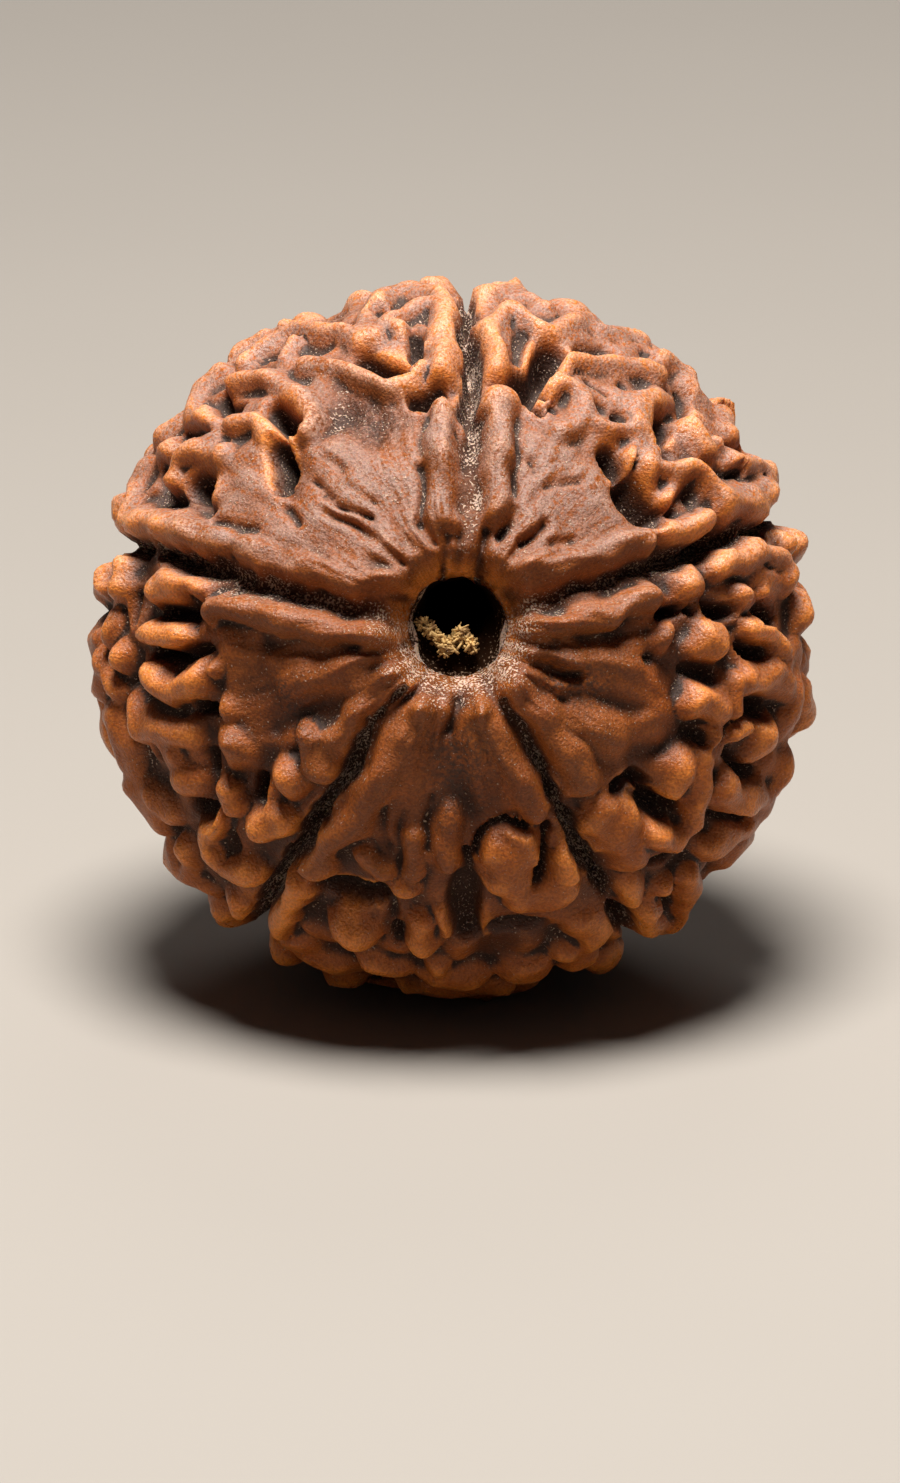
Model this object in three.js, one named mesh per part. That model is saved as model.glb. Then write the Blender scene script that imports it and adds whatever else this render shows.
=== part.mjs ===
// Five-faced rudraksha seed: the hard stone of the fruit, cleaned, with its natural canal.
// It lies on its side with the canal's front mouth toward -Y, tipped up, and rests on one
// worn spot under it. Every ridge, knob, groove and pit is raised from a round body by a
// formula. Places on the front are millimetres right of and above the canal's mouth, looking in.
import * as THREE from 'three';

const crestRadius = 9.85; // half the seed's width over its crests
const lengthRatio = 0.9; // length along the canal over the width
const valleyDepth = 0.85; // from the crests down to the valleys
const canalTilt = 19; // degrees that the front mouth points up
const mouth = [0.15, 0.4]; // front mouth from the seed's axis, x and z
const backMouth = [-0.2, 0.1]; // back mouth from the seed's axis
const mouthRadius = 1.6; // edge of both mouths, before they dip
const funnelRadius = 2.2; // where the surface starts to dip into the mouth
const funnelDepth = 1.15;
const ridgeSpread = 1.45; // half width at the valley over the stated half width
const ridgeBlend = 0.22; // height over which neighbouring ridges run together
const foldDepth = 1.9; // creases on the plates over their stated depth
const pleatCount = 22; // pleats that run into the front mouth
const pleatHeight = 0.15;
const wormGap = 1.55; // least distance between neighbouring ridges on the sides and back
const wormStep = 0.6; // length of one bend of such a ridge
const lipOffset = 1.02; // from a groove's middle to the crest of its lip, on the back
const restSpot = 3.2; // radius round the lowest point where the ridges are worn level
const spotReach = 2.9; // the flat spot's four points from its middle
const spotWaist = 1.7; // the flat spot's edge from its middle, half-way between two points
const spotTurn = 0.35; // turn of the four points, radians
const spotGap = 0.12; // the rest of the seed stays this high over the surface
const seatHeight = 9.5; // the seed's middle above the surface that it rests on
const bodyShift = [0.02, -0.1]; // x and y of the seed's middle
const columns = 120; // points round the seed
const rowsOutside = 50; // rows of faces from mouth to mouth
const seedOfDraws = 20;

// grooves between the five faces, from the front mouth out: half width, floor, x, z
const grooves = [
  [[0.32, 0.5, 0.3, 2.2], [0.36, 0.42, 0.3, 3.7], [0.38, 0.05, 0.33, 4.6], [0.38, -0.5, 0.36, 6],
    [0.34, -0.9, 0.33, 7.6], [0.32, -0.9, 0.2, 8.9]],
  [[0.2, 0.36, 1.7, 0.45], [0.29, 0.18, 3, 0.75], [0.33, 0, 4.2, 1.15], [0.36, -0.3, 5.6, 1.7],
    [0.32, -0.6, 7, 2.2], [0.28, -0.8, 8.6, 2.75]],
  [[0.14, 0.3, 1.25, -2.2], [0.2, 0, 1.9, -3.3], [0.25, -0.4, 2.6, -4.6], [0.27, -0.7, 3.3, -6],
    [0.28, -0.9, 4, -7.3], [0.28, -0.9, 4.7, -8.5]],
  [[0.14, 0.3, -1.5, -1.8], [0.22, 0, -2.3, -2.8], [0.28, -0.4, -3.1, -4.1], [0.3, -0.7, -4, -5.5],
    [0.32, -0.9, -4.9, -7], [0.3, -0.9, -5.6, -8.2]],
  [[0.28, 0.38, -2.1, 0.3], [0.33, 0.28, -3.4, 0.45], [0.37, 0.12, -4.8, 0.87],
    [0.4, -0.05, -6.2, 1.28], [0.36, -0.35, -7.6, 1.75], [0.3, -0.7, -9.2, 2.25]],
];

// smooth plate of each face round the mouth: level over the valleys, outline x, z
const plates = {
  upperLeft: { level: 0.76, outline: [[-0.12, 1.6], [-0.12, 3], [-0.12, 5.9], [-0.6, 6.05],
    [-1.5, 6.2], [-2.2, 6.6], [-3, 7], [-3.9, 7.1], [-4.4, 6.6], [-4.1, 6.1], [-4.1, 5.3], [-4.3, 4.9],
    [-4.3, 4.2], [-4.6, 3.6], [-5.3, 4], [-5.6, 4.8], [-6.3, 4.5], [-6.3, 3.8], [-6.8, 3.2], [-7.6, 3],
    [-7.6, 2.1], [-6, 1.7], [-5, 1.3], [-4, 1], [-3, 0.75], [-2, 0.65], [-1.3, 0.9]] },
  upperRight: { level: 0.76, outline: [[0.72, 1.6], [0.72, 3], [0.74, 6], [1.5, 5.6], [2, 5.6],
    [2.7, 5.3], [3.4, 5.1], [3.7, 4.7], [4, 4.2], [4.3, 3.5], [4.7, 2.9], [5.3, 2.6], [5.4, 1.85],
    [4, 1.3], [3, 0.95], [2, 0.7], [1.2, 1.1]] },
  right: { level: 0.62, outline: [[1.5, 0.15], [3, 0.4], [4.3, 0.85], [5.4, 1.2], [5.6, 0.3],
    [6, -0.2], [6.1, -0.9], [5.7, -1.1], [6, -1.8], [5.9, -2.8], [5.7, -3.4], [5.2, -3.6], [4.6, -4],
    [4, -4.4], [3.4, -5.1], [3, -4.7], [2.2, -3.2], [1.5, -2.1], [1.2, -1.5]] },
  bottom: { level: 0.62, outline: [[-0.9, -1.9], [-0.1, -2.2], [0.6, -2], [1, -2.3], [1.6, -3.4],
    [2.3, -4.7], [2.8, -5.6], [2.3, -5.5], [1.5, -5.4], [0.6, -5.6], [0.2, -6.3], [0.1, -6.9],
    [-0.5, -7], [-1, -6.9], [-1.2, -7.3], [-1.9, -7.1], [-2.8, -7], [-3.2, -6.8], [-3.9, -6.9],
    [-4.5, -6.9], [-3.7, -5.6], [-2.8, -4.2], [-2, -3.1], [-1.4, -2.3]] },
  left: { level: 0.6, outline: [[-2, 0], [-3.4, 0.2], [-5, 0.65], [-6.4, 1], [-7, 0.6], [-7, -0.3],
    [-6.9, -1], [-6.5, -1.6], [-6.5, -2.3], [-6.8, -3], [-6.2, -3.8], [-5.6, -4], [-5.2, -3.4],
    [-4.5, -3.6], [-4.2, -4.5], [-3.6, -4.5], [-2.8, -3.1], [-2, -2.1], [-1.4, -1.5]] },
};

// ridges and knobs on the front: half width, height over the valleys, points x, z
const ridges = {
  upperLeft: [
    [0.5, 0.88, [[-9.1, 2.85], [-8.2, 2.7], [-7.2, 2.4], [-6.4, 2.2]]],
    [0.45, 0.96, [[-5.9, 2.05], [-5.2, 1.8], [-4.3, 1.5], [-3.5, 1.3], [-2.8, 1.15]]],
    [0.35, 0.72, [[-2.4, 1.15], [-1.8, 1.15], [-1.5, 1.2]]],
    [0.42, 0.98, [[-0.5, 2.8], [-0.5, 3.6], [-0.5, 5], [-0.45, 5.75]]],
    [0.42, 0.9, [[-0.5, 6.75], [-0.42, 7.4], [-0.42, 8.3], [-0.6, 9]]],
    [0.45, 0.9, [[-0.8, 9.1], [-1.5, 9.15], [-2.2, 8.9], [-2.5, 8.3], [-2.5, 7.9]]],
    [0.32, 0.85, [[-0.9, 8.75], [-1.5, 8.5], [-2, 8.1], [-2.3, 7.8]]],
    [0.25, 0.7, [[-1, 8.2], [-0.95, 7.6]]],
    [0.34, 0.9, [[-1.95, 8.05], [-1.55, 7.95]]],
    [0.35, 0.85, [[-4.2, 7], [-3.3, 7], [-2.7, 6.75], [-2, 6.35], [-1.4, 6.6], [-1.05, 6.95]]],
    [0.4, 0.9, [[-2.7, 7.75], [-3.4, 8], [-4.3, 8.1], [-5, 7.85], [-5.6, 7.4], [-5.9, 7.1]]],
    [0.3, 0.8, [[-4.5, 7.7], [-4.8, 7.2]]],
    [0.4, 0.85, [[-6.2, 6.6], [-5.5, 6.75], [-4.9, 6.6], [-4.4, 6.3], [-4.1, 5.8], [-4, 5.3]]],
    [0.45, 0.85, [[-6.6, 6.85], [-7.1, 6.3], [-7.2, 5.75], [-6.8, 5.5]]],
    [0.4, 0.85, [[-6.15, 5.45], [-5.6, 5.5], [-5.2, 5.1], [-4.7, 4.95]]],
    [0.45, 0.8, [[-8.2, 4.75], [-7.9, 4.95]]],
    [0.4, 0.88, [[-7.9, 3.95], [-7.6, 4.5], [-7.1, 4.7], [-6.4, 4.6]]],
    [0.4, 0.8, [[-6.7, 5], [-7.3, 4.85]]],
    [0.45, 0.8, [[-8.9, 3.9], [-8.95, 3.3]]],
    [0.4, 0.75, [[-8.5, 4.9], [-8.8, 4.2]]],
    [0.7, 0.86, [[-8.75, 4.2]]],
    [0.66, 0.86, [[-8.05, 5.3], [-7.75, 5.7]]],
    [0.62, 0.86, [[-7, 6.5], [-6.7, 6.75]]],
    [0.58, 0.86, [[-5.9, 7.5], [-5.5, 7.8]]],
    [0.52, 0.82, [[-4.7, 8.25]]],
    [0.5, 0.6, [[-3.4, 7.5], [-4.6, 7.3]]],
  ],
  upperRight: [
    [0.42, 0.98, [[1.08, 2.9], [1.1, 3.6], [1.1, 4.8], [1.05, 5.9], [1.05, 6.05]]],
    [0.38, 0.92, [[1.1, 6.85], [1, 7.6], [1, 8.3], [1.4, 8.5], [1.9, 8.25], [2.4, 8.1], [3, 8.15],
      [3.6, 8.35]]],
    [0.58, 0.84, [[0.85, 9.1], [1.4, 9.15], [1.95, 8.95], [2.3, 8.6]]],
    [0.36, 0.88, [[2, 6.25], [2.6, 6.75], [3.2, 7.1], [4, 7.15], [4.8, 7.05], [5.4, 6.85]]],
    [0.4, 0.85, [[3.9, 8.05], [4.6, 8], [5.1, 7.75]]],
    [0.42, 0.88, [[5.5, 7.2], [6.1, 7], [6.3, 6.6]]],
    [0.34, 0.85, [[2.5, 6.35], [2.95, 6.5], [3.35, 6.25], [3.4, 5.8], [3.1, 5.4], [2.7, 5.2]]],
    [0.5, 0.88, [[5.5, 6.3], [5, 5.9], [4.9, 5.3], [5.1, 4.7], [5.2, 4.2]]],
    [0.3, 0.8, [[3.7, 5.4], [4.2, 5.25], [4.7, 5.2]]],
    [0.22, 0.8, [[4.5, 4.25], [4.9, 4.9]]],
    [0.4, 0.9, [[6.25, 5.4], [6.6, 5], [6.8, 4.7]]],
    [0.32, 0.8, [[7.1, 4.95]]],
    [0.5, 0.88, [[7.3, 5.75], [7.45, 5.35]]],
    [0.32, 0.88, [[5.65, 4.15]]],
    [0.36, 0.9, [[5.9, 4.1], [6.4, 4.2], [6.8, 3.95], [7.1, 3.6]]],
    [0.22, 0.75, [[5.6, 3.3], [5.95, 3.8]]],
    [0.42, 0.98, [[1.9, 1.35], [2.6, 1.5], [3.4, 1.75], [4.2, 2.05], [5, 2.3]]],
    [0.38, 0.88, [[5.6, 2.55], [6.2, 2.6], [6.75, 2.85]]],
    [0.55, 0.92, [[7.3, 3.35], [8, 3.4], [8.45, 3.7]]],
    [0.5, 0.9, [[8.5, 3.5], [8.5, 4], [8.2, 4.35], [7.6, 4.5]]],
    [0.55, 0.64, [[3.4, 8.3], [5.2, 7.5], [6.7, 6.3], [7.7, 5.1]]],
    [0.5, 0.6, [[3.2, 6.6], [4.3, 6.2]]],
  ],
  right: [
    [0.36, 1.04, [[1.8, -0.2], [2.5, -0.18], [3.2, -0.05], [3.9, 0.15], [4.6, 0.45], [5.2, 0.7]]],
    [0.42, 0.9, [[5.3, 0.75]]],
    [0.52, 0.85, [[6.4, 1.2]]],
    [0.42, 0.88, [[7.2, 1.6], [7.7, 1.85], [8.3, 1.95], [8.8, 1.8]]],
    [0.5, 0.8, [[8.2, 1.3], [8.7, 1.1]]],
    [0.42, 0.85, [[7.75, 0.8]]],
    [0.4, 0.85, [[8.3, 0.85]]],
    [0.6, 0.9, [[9, 1.3]]],
    [0.4, 0.9, [[9.1, 2.2]]],
    [0.5, 0.88, [[9.4, 0.6], [9.35, 0.2]]],
    [0.34, 0.88, [[8, -0.15], [8.35, -0.15], [8.75, -0.6], [8.95, -1.1]]],
    [0.68, 0.95, [[6.95, -0.45]]],
    [0.45, 0.7, [[5.65, -0.4]]],
    [0.5, 0.9, [[6.5, -2.2], [7.2, -2.3]]],
    [0.3, 0.8, [[7.6, -1.6], [7.65, -2.4]]],
    [0.48, 0.88, [[8, -1.5], [8.7, -1.5], [9.15, -1.9], [9.1, -2.4]]],
    [0.68, 0.9, [[8.4, -3.1]]],
    [0.3, 0.8, [[7.9, -2.9], [7.6, -3.1]]],
    [0.56, 0.92, [[7.25, -4.6], [7.8, -4.85], [8.35, -4.75], [8.75, -4.2], [8.9, -3.6]]],
    [0.6, 0.84, [[7.1, -6.1], [7.8, -5.6], [8.5, -4.9]]],
    [0.62, 0.9, [[6.1, -4.1]]],
    [0.35, 0.8, [[6.8, -3.3], [7.1, -3]]],
    [0.42, 0.9, [[5.2, -5.75], [5.9, -5.9], [6.35, -5.5], [6.5, -4.9], [6.6, -4.3], [6.75, -3.8]]],
    [0.62, 0.92, [[4, -5.2], [4.5, -5.9], [4.8, -6.4]]],
    [0.32, 0.85, [[4.75, -7], [4.85, -7.6]]],
    [0.38, 0.85, [[5.6, -7.3]]],
    [0.42, 0.88, [[6.35, -6.9], [6.35, -7.5], [6, -8.1], [5.5, -8.35], [5.15, -8]]],
    [0.3, 0.8, [[5.5, -7.9]]],
    [0.5, 0.85, [[1.5, -1.8], [2.1, -2.4], [2.7, -3.2], [3.3, -4], [3.5, -4.25]]],
    [0.2, 0.75, [[1.4, -1.25], [2.2, -1.5], [2.9, -1.75]]],
    [0.7, 0.74, [[9.3, -0.9], [9.2, -2.2], [8.8, -3.6], [8.1, -4.8]]],
    [0.5, 0.6, [[7.6, 0.4], [8.3, 1.3]]],
  ],
  bottom: [
    [0.45, 0.85, [[-0.95, -2.5], [-1.6, -3.2], [-2, -3.9], [-2.4, -4.7], [-2.9, -5.4], [-3.6, -6.1],
      [-4, -6.7]]],
    [0.42, 0.85, [[-4.4, -7.2], [-4.7, -7.8], [-4.9, -8.4]]],
    [0.4, 0.8, [[-4.7, -8.8], [-4.2, -8.9]]],
    [0.42, 0.8, [[0.6, -2.5], [1.1, -3.3], [1.6, -4.2], [2, -4.8], [2.2, -5.1]]],
    [0.36, 0.7, [[-0.3, -5.3], [-0.3, -6], [-0.3, -6.6]]],
    [0.4, 0.85, [[-1.45, -7.35]]],
    [0.3, 0.7, [[-1.2, -6], [-1.3, -6.9]]],
    [0.35, 0.7, [[-2.6, -6.5], [-2.1, -6.8]]],
    [0.76, 1.08, [[-2.85, -8.4]]],
    [0.55, 0.85, [[-2.2, -9.35]]],
    [0.4, 0.8, [[-1, -8.3], [-0.9, -8.9]]],
    [0.25, 0.7, [[-0.4, -8], [-0.3, -8.6]]],
    [0.4, 0.8, [[-0.6, -9.5]]],
    [0.68, 0.9, [[1.3, -6.3], [1.35, -7]]],
    [0.5, 0.9, [[1.2, -7.1], [1.7, -7.5], [2.4, -7.6], [2.9, -7.3]]],
    [0.45, 0.92, [[3, -6.4], [3, -6.8]]],
    [0.35, 0.85, [[1.5, -5.8], [1.9, -6.3]]],
    [0.6, 0.85, [[3.6, -8.3], [3.8, -8.7]]],
    [0.45, 0.8, [[2.9, -9.1], [3.4, -9.3]]],
    [0.35, 0.75, [[1.75, -9.5]]],
    [0.4, 0.75, [[4.3, -9.2]]],
    [0.7, 0.84, [[-4, -9.2], [-3.4, -9.45]]],
    [0.62, 0.86, [[-1.95, -9.5]]],
    [0.66, 0.82, [[-0.5, -9.8], [0.2, -9.8]]],
    [0.6, 0.84, [[1.6, -9.65], [2.1, -9.5]]],
    [0.6, 0.8, [[3.3, -9.2]]],
  ],
  left: [
    [0.4, 1.04, [[-6.6, 0.35], [-6, 0.45], [-5.2, 0.2], [-4.3, -0.05], [-3.4, -0.25], [-2.6, -0.45],
      [-2.2, -0.45]]],
    [0.5, 0.95, [[-8.25, 1], [-7.7, 1.05]]],
    [0.28, 0.8, [[-7.4, 1.15], [-7, 0.95]]],
    [0.36, 0.88, [[-8.6, -0.25], [-8, -0.35], [-7.6, -0.35]]],
    [0.42, 0.9, [[-8.4, -1.5], [-7.9, -1.85], [-7.2, -1.6]]],
    [0.5, 0.9, [[-7.1, -1.6]]],
    [0.3, 0.8, [[-6.7, -1.3]]],
    [0.5, 0.85, [[-9.35, 1.5], [-9.4, 0.9]]],
    [0.4, 0.8, [[-9.55, 0.2], [-9.6, -0.4]]],
    [0.45, 0.85, [[-9.3, -0.85]]],
    [0.45, 0.85, [[-9.75, -1.1], [-9.5, -1.7]]],
    [0.35, 0.8, [[-9.1, -2.1], [-8.8, -2.6]]],
    [0.45, 0.8, [[-8.7, -2.8], [-8, -2.95], [-7.4, -3]]],
    [0.4, 0.8, [[-9.1, -3.3], [-8.9, -4.1]]],
    [0.55, 0.85, [[-7.6, -4.3]]],
    [0.5, 0.8, [[-8.4, -4.8], [-8, -5.2]]],
    [0.3, 0.75, [[-7.8, -3.6]]],
    [0.6, 0.85, [[-6.2, -3.4]]],
    [0.4, 0.75, [[-6.3, -2.4]]],
    [0.3, 0.85, [[-6.35, -4.6], [-6.2, -5.1]]],
    [0.3, 0.8, [[-6.6, -5.4], [-6.9, -6]]],
    [0.45, 0.8, [[-1.6, -1.4], [-2.2, -1.9], [-2.8, -2.5], [-3.3, -3.2], [-3.8, -4]]],
    [0.6, 0.95, [[-4.6, -4.2]]],
    [0.42, 0.9, [[-4.1, -3.2], [-4, -3.9]]],
    [0.48, 0.92, [[-4.9, -5.35], [-5.4, -5.55]]],
    [0.45, 0.9, [[-6.7, -6.3], [-6.3, -6.7], [-5.8, -6.8]]],
    [0.4, 0.85, [[-6.9, -5.8]]],
    [0.42, 0.85, [[-6.2, -7.6], [-6.1, -7.9]]],
    [0.4, 0.8, [[-7.6, -6.2], [-7.4, -6.9], [-6.9, -7.4]]],
    [0.85, 0.92, [[-9.85, -1.5]]],
    [0.8, 0.9, [[-9.45, -2.7], [-9.3, -3.5]]],
    [0.8, 0.88, [[-8.95, -4.5], [-8.5, -5.1]]],
    [0.7, 0.85, [[-7.9, -6.4], [-7.4, -7]]],
    [0.6, 0.8, [[-6.8, -7.8]]],
    [0.55, 0.64, [[-8.2, -3.2], [-7.5, -4.3]]],
  ],
};

// creases and soft swells laid over them: half width, added height, points x, z
const folds = [
  [0.2, -0.15, [[-8.6, 3.65], [-7.7, 3.4], [-6.9, 3.1]]],
  [0.14, -0.1, [[-6.6, 2.75], [-5.6, 2.5]]],
  [0.8, -0.2, [[-3.1, 5.8], [-2.2, 5.5]]],
  [0.11, -0.13, [[-1.5, 1.5], [-2.1, 2.1], [-2.8, 2.5], [-3.6, 3]]],
  [0.09, -0.11, [[-2.4, 2.75], [-3, 3], [-3.7, 3.45]]],
  [0.08, -0.08, [[-2.3, 3.2], [-2.9, 3.7]]],
  [0.12, -0.08, [[-3.7, 4.5], [-3.2, 4.1]]],
  [0.14, -0.14, [[-4.75, 3.1], [-4.4, 2.75]]],
  [0.1, -0.16, [[-0.95, 2.7], [-1, 3.6], [-1.1, 4.3]]],
  [0.1, -0.1, [[-0.95, 4.6], [-0.9, 5.8]]],
  [0.15, -0.15, [[-0.95, 2.6], [-0.7, 2.2]]],
  [0.08, -0.09, [[-4.1, 3.85], [-3.3, 3.35]]],
  [0.12, -0.14, [[1.9, 4.35], [2, 4.1]]],
  [0.12, -0.09, [[2.4, 3.65], [3.2, 3.75]]],
  [0.13, -0.16, [[1.7, 2.1], [2.3, 2.6]]],
  [0.14, -0.1, [[2.5, 2.15], [3.1, 2.3]]],
  [0.15, -0.2, [[1.2, 2.3], [1.5, 3]]],
  [0.09, -0.18, [[1.55, 3.1], [1.57, 4.2], [1.55, 5.3]]],
  [0.18, 0.1, [[1.5, -0.7], [2.2, -0.85], [3.2, -1]]],
  [0.18, -0.2, [[2.2, -1.05], [3.3, -1.45]]],
  [0.5, 0.16, [[3.8, -2.9], [4.4, -3.2]]],
  [0.2, -0.15, [[5.3, -1.1]]],
  [0.12, -0.14, [[-0.82, -4.9], [-0.88, -6.3]]],
  [0.15, -0.08, [[-2.1, -5.2], [-2, -6.2]]],
  [0.12, -0.07, [[-1.55, -5.3], [-1.7, -6.8]]],
  [0.15, -0.16, [[-0.15, -2.3], [-0.15, -3]]],
  [1, -0.15, [[0, -3.6], [0, -4.8]]],
  [0.2, 0.13, [[0.27, 2.9], [0.24, 1.5]]],
  [0.15, -0.2, [[-0.4, 2.5], [-0.5, 1.5]]],
  [0.15, -0.2, [[0.84, 2.4], [0.72, 1.55]]],
  [0.22, 0.13, [[-2, 1.25], [-1.3, 0.95]]],
  [0.24, 0.13, [[1.35, 1.3], [2.2, 1.7]]],
  [0.2, 0.1, [[1.45, -0.02], [2.2, -0.12]]],
  [0.24, 0.13, [[0.95, -1.15], [1.6, -1.9]]],
  [0.24, 0.1, [[0.3, -1.5], [0.45, -2.4]]],
  [0.24, 0.1, [[-0.7, -1.35], [-1, -2.1]]],
  [0.24, 0.12, [[-1.2, -0.85], [-1.9, -1.35]]],
  [0.34, 0.1, [[-2.4, -1.05], [-3.6, -1.5], [-4.8, -1.75]]],
  [0.24, -0.1, [[-2.8, -0.8], [-4, -0.8], [-5.4, -0.5]]],
  [0.28, -0.1, [[-3.2, -2.1], [-4.2, -2.6], [-5.2, -2.9]]],
  [0.28, 0.07, [[-1.3, -3.5], [-1.7, -4.6]]],
  [0.28, 0.08, [[0.5, -3.4], [0.6, -4.9]]],
  [0.28, 0.09, [[2.9, -0.95], [4.4, -1.2], [5.4, -1.6]]],
  [0.22, -0.1, [[2.6, -0.55], [4, -0.4], [5.3, -0.2]]],
  [0.24, -0.1, [[2.9, -2.1], [3.9, -2.1], [5, -2.4]]],
  [0.2, 0.1, [[-1.5, -0.15], [-2.3, -0.3]]],
  [0.7, -0.05, [[2.7, -1.5], [3.7, -1.8]]],
  [0.6, -0.04, [[-4.9, -1.9], [-4.4, -2.6]]],
];

// pits between the ridges: half width, floor over the valleys, points x, z
const pits = {
  upperLeft: [
    [0.26, -0.1, [[-2.15, 8.65], [-1.85, 8.55]]],
    [0.24, -0.4, [[-1.15, 7.9], [-1.2, 7.45]]],
    [0.22, -0.2, [[-1.35, 7.15]]],
    [0.4, -0.8, [[-2.65, 7.3], [-2.1, 7.1], [-1.6, 6.95]]],
    [0.36, -0.5, [[-1.1, 6.15], [-0.7, 6.25]]],
    [0.75, 0.25, [[-3.75, 8.9]]],
    [0.45, 0.25, [[-4.1, 7.65], [-3.7, 7.6]]],
    [0.22, 0, [[-5.3, 7.4], [-4.95, 7.5]]],
    [0.32, -0.1, [[-6.6, 6.3], [-6.5, 6], [-6.15, 5.95]]],
    [0.32, -0.6, [[-5.1, 5.85], [-4.75, 5.5], [-4.5, 5.3]]],
    [0.46, -0.9, [[-4.95, 4.75], [-4.85, 4.15]]],
    [0.3, -0.4, [[-4.9, 3.75]]],
    [0.48, -0.9, [[-7.35, 3.8], [-7.1, 3.68]]],
    [0.3, 0, [[-8.3, 4.3], [-8.4, 3.8]]],
    [0.2, 0.05, [[-7.55, 5.35], [-7, 5.15]]],
  ],
  upperRight: [
    [0.28, 0.35, [[1.6, 8.85]]],
    [0.46, -0.9, [[2.6, 7.6], [2.35, 7.25], [2, 6.9], [1.75, 6.4]]],
    [0.2, -0.2, [[1.9, 6], [2.2, 5.75]]],
    [0.28, 0.1, [[1.75, 8], [1.65, 7.4]]],
    [0.38, -0.05, [[3.4, 7.6], [4.1, 7.55]]],
    [0.2, 0.3, [[5.15, 7.45]]],
    [0.22, 0.1, [[3.65, 6.6], [3.95, 6.4]]],
    [0.22, 0, [[4.5, 6.6]]],
    [0.3, 0.25, [[3.85, 5.9]]],
    [0.26, 0, [[4.35, 5.65]]],
    [0.2, 0, [[2.25, 6.2]]],
    [0.22, 0.1, [[2.6, 5.85]]],
    [0.42, -0.7, [[5.65, 5.5], [5.55, 5], [5.8, 4.75]]],
    [0.32, -0.4, [[6.2, 6.4], [6.25, 5.95], [6.6, 5.5]]],
    [0.25, -0.1, [[7.5, 4.85], [7.85, 4.75]]],
    [0.34, -0.5, [[4.15, 4.6], [4.3, 4.2]]],
    [0.55, -0.6, [[4.7, 3.6], [5.1, 3.2]]],
    [0.4, -0.5, [[5.4, 3]]],
    [0.36, 0, [[6.45, 3.5]]],
    [0.18, 0.2, [[7.2, 4.2], [7.7, 4.2]]],
    [0.18, -0.1, [[6.9, 4.3]]],
  ],
  right: [
    [0.3, -0.5, [[5.7, 0.3], [6.1, 0.35]]],
    [0.32, -0.6, [[7, 0.45], [7.5, 0.3]]],
    [0.25, -0.2, [[6.5, 0.3]]],
    [0.3, -0.6, [[8.3, 0.3], [8.8, 0.2]]],
    [0.26, -0.5, [[7.9, -0.65], [8.4, -0.75]]],
    [0.38, -0.15, [[6.5, -1.35], [7, -1.4]]],
    [0.38, -0.5, [[8.1, -2.25], [8.5, -2.4]]],
    [0.28, -0.4, [[7.5, -3.6], [7.9, -4], [8.2, -4.1]]],
    [0.3, -0.1, [[6.4, -3.1], [6.8, -3.2]]],
    [0.42, -0.8, [[5.3, -4.95], [5.8, -5.15]]],
    [0.3, -0.5, [[4.4, -4.5], [4.9, -4.3], [5.2, -4.5]]],
    [0.25, -0.3, [[5.4, -6.75], [5.9, -6.65]]],
    [0.14, 0.1, [[6, -7.3], [5.9, -7.7]]],
    [0.22, -0.2, [[7, -5.4], [7.8, -5.35]]],
  ],
  bottom: [
    [0.5, -0.9, [[-3.6, -7.4], [-2.9, -7.5], [-2.2, -7.6]]],
    [0.28, 0, [[-4.15, -8]]],
    [0.24, 0, [[-1.9, -7.9], [-1.85, -8.3]]],
    [0.5, -0.35, [[0.2, -7.3], [0.2, -8], [0.3, -8.8]]],
    [0.22, -0.2, [[-1.6, -8.5], [-1.6, -8.9]]],
    [0.18, -0.4, [[2.3, -5.9], [2.25, -6.5], [2.1, -7.05]]],
    [0.16, -0.2, [[0.5, -6.4], [0.6, -6], [0.85, -5.72], [1.3, -5.6], [1.8, -5.65]]],
    [0.2, -0.2, [[0.25, -6.3], [0.3, -7]]],
    [0.5, -0.3, [[1.2, -8.6], [2.2, -8.5]]],
    [0.25, -0.2, [[2.4, -5.75]]],
  ],
  left: [
    [0.3, -0.5, [[-8.2, 0.3], [-7.6, 0.3]]],
    [0.28, -0.6, [[-7.4, 0.4]]],
    [0.26, -0.5, [[-8.4, -0.85], [-7.7, -0.95], [-7.2, -0.75]]],
    [0.25, -0.1, [[-7.8, -1.25]]],
    [0.26, -0.6, [[-7.2, -2.4], [-6.8, -2.5]]],
    [0.22, -0.4, [[-9.05, 0.8], [-9.1, 0.2]]],
    [0.3, 0, [[-9.2, -1.45]]],
    [0.4, 0.1, [[-8.3, -3.6]]],
    [0.35, -0.6, [[-7.3, -5.2], [-6.9, -5.3]]],
    [0.36, -0.8, [[-5.6, -4.4], [-5.65, -4.8]]],
    [0.3, 0.1, [[-6.3, -6], [-6.2, -6.2]]],
    [0.22, -0.3, [[-7.25, -5.9], [-7.2, -6.3]]],
    [0.25, -0.2, [[-6.9, -4.2], [-7, -3.6]]],
  ],
};

// canal wall from the front mouth in: depth, x, z, half width, half height
// It narrows over a tuft of dried fibre that fills its lower half near the front, and bends.
const canal = [
  [0.4, 0, -0.12, 1.16, 1.46],
  [0.65, 0, 0.25, 1.04, 1.08],
  [0.85, 0, 0.48, 0.94, 0.8],
  [1.7, 0, 0.46, 0.88, 0.72],
  [2.4, 0, 0.35, 0.9, 0.95],
  [4, 0, 0.55, 0.92, 0.98],
  [6.5, 0, -0.2, 0.92, 0.96],
  [9, 0, -1.25, 0.9, 0.94],
  [11.5, 0, -0.8, 0.92, 0.96],
  [13.6, 0, -0.2, 1, 1.06],
];

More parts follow.
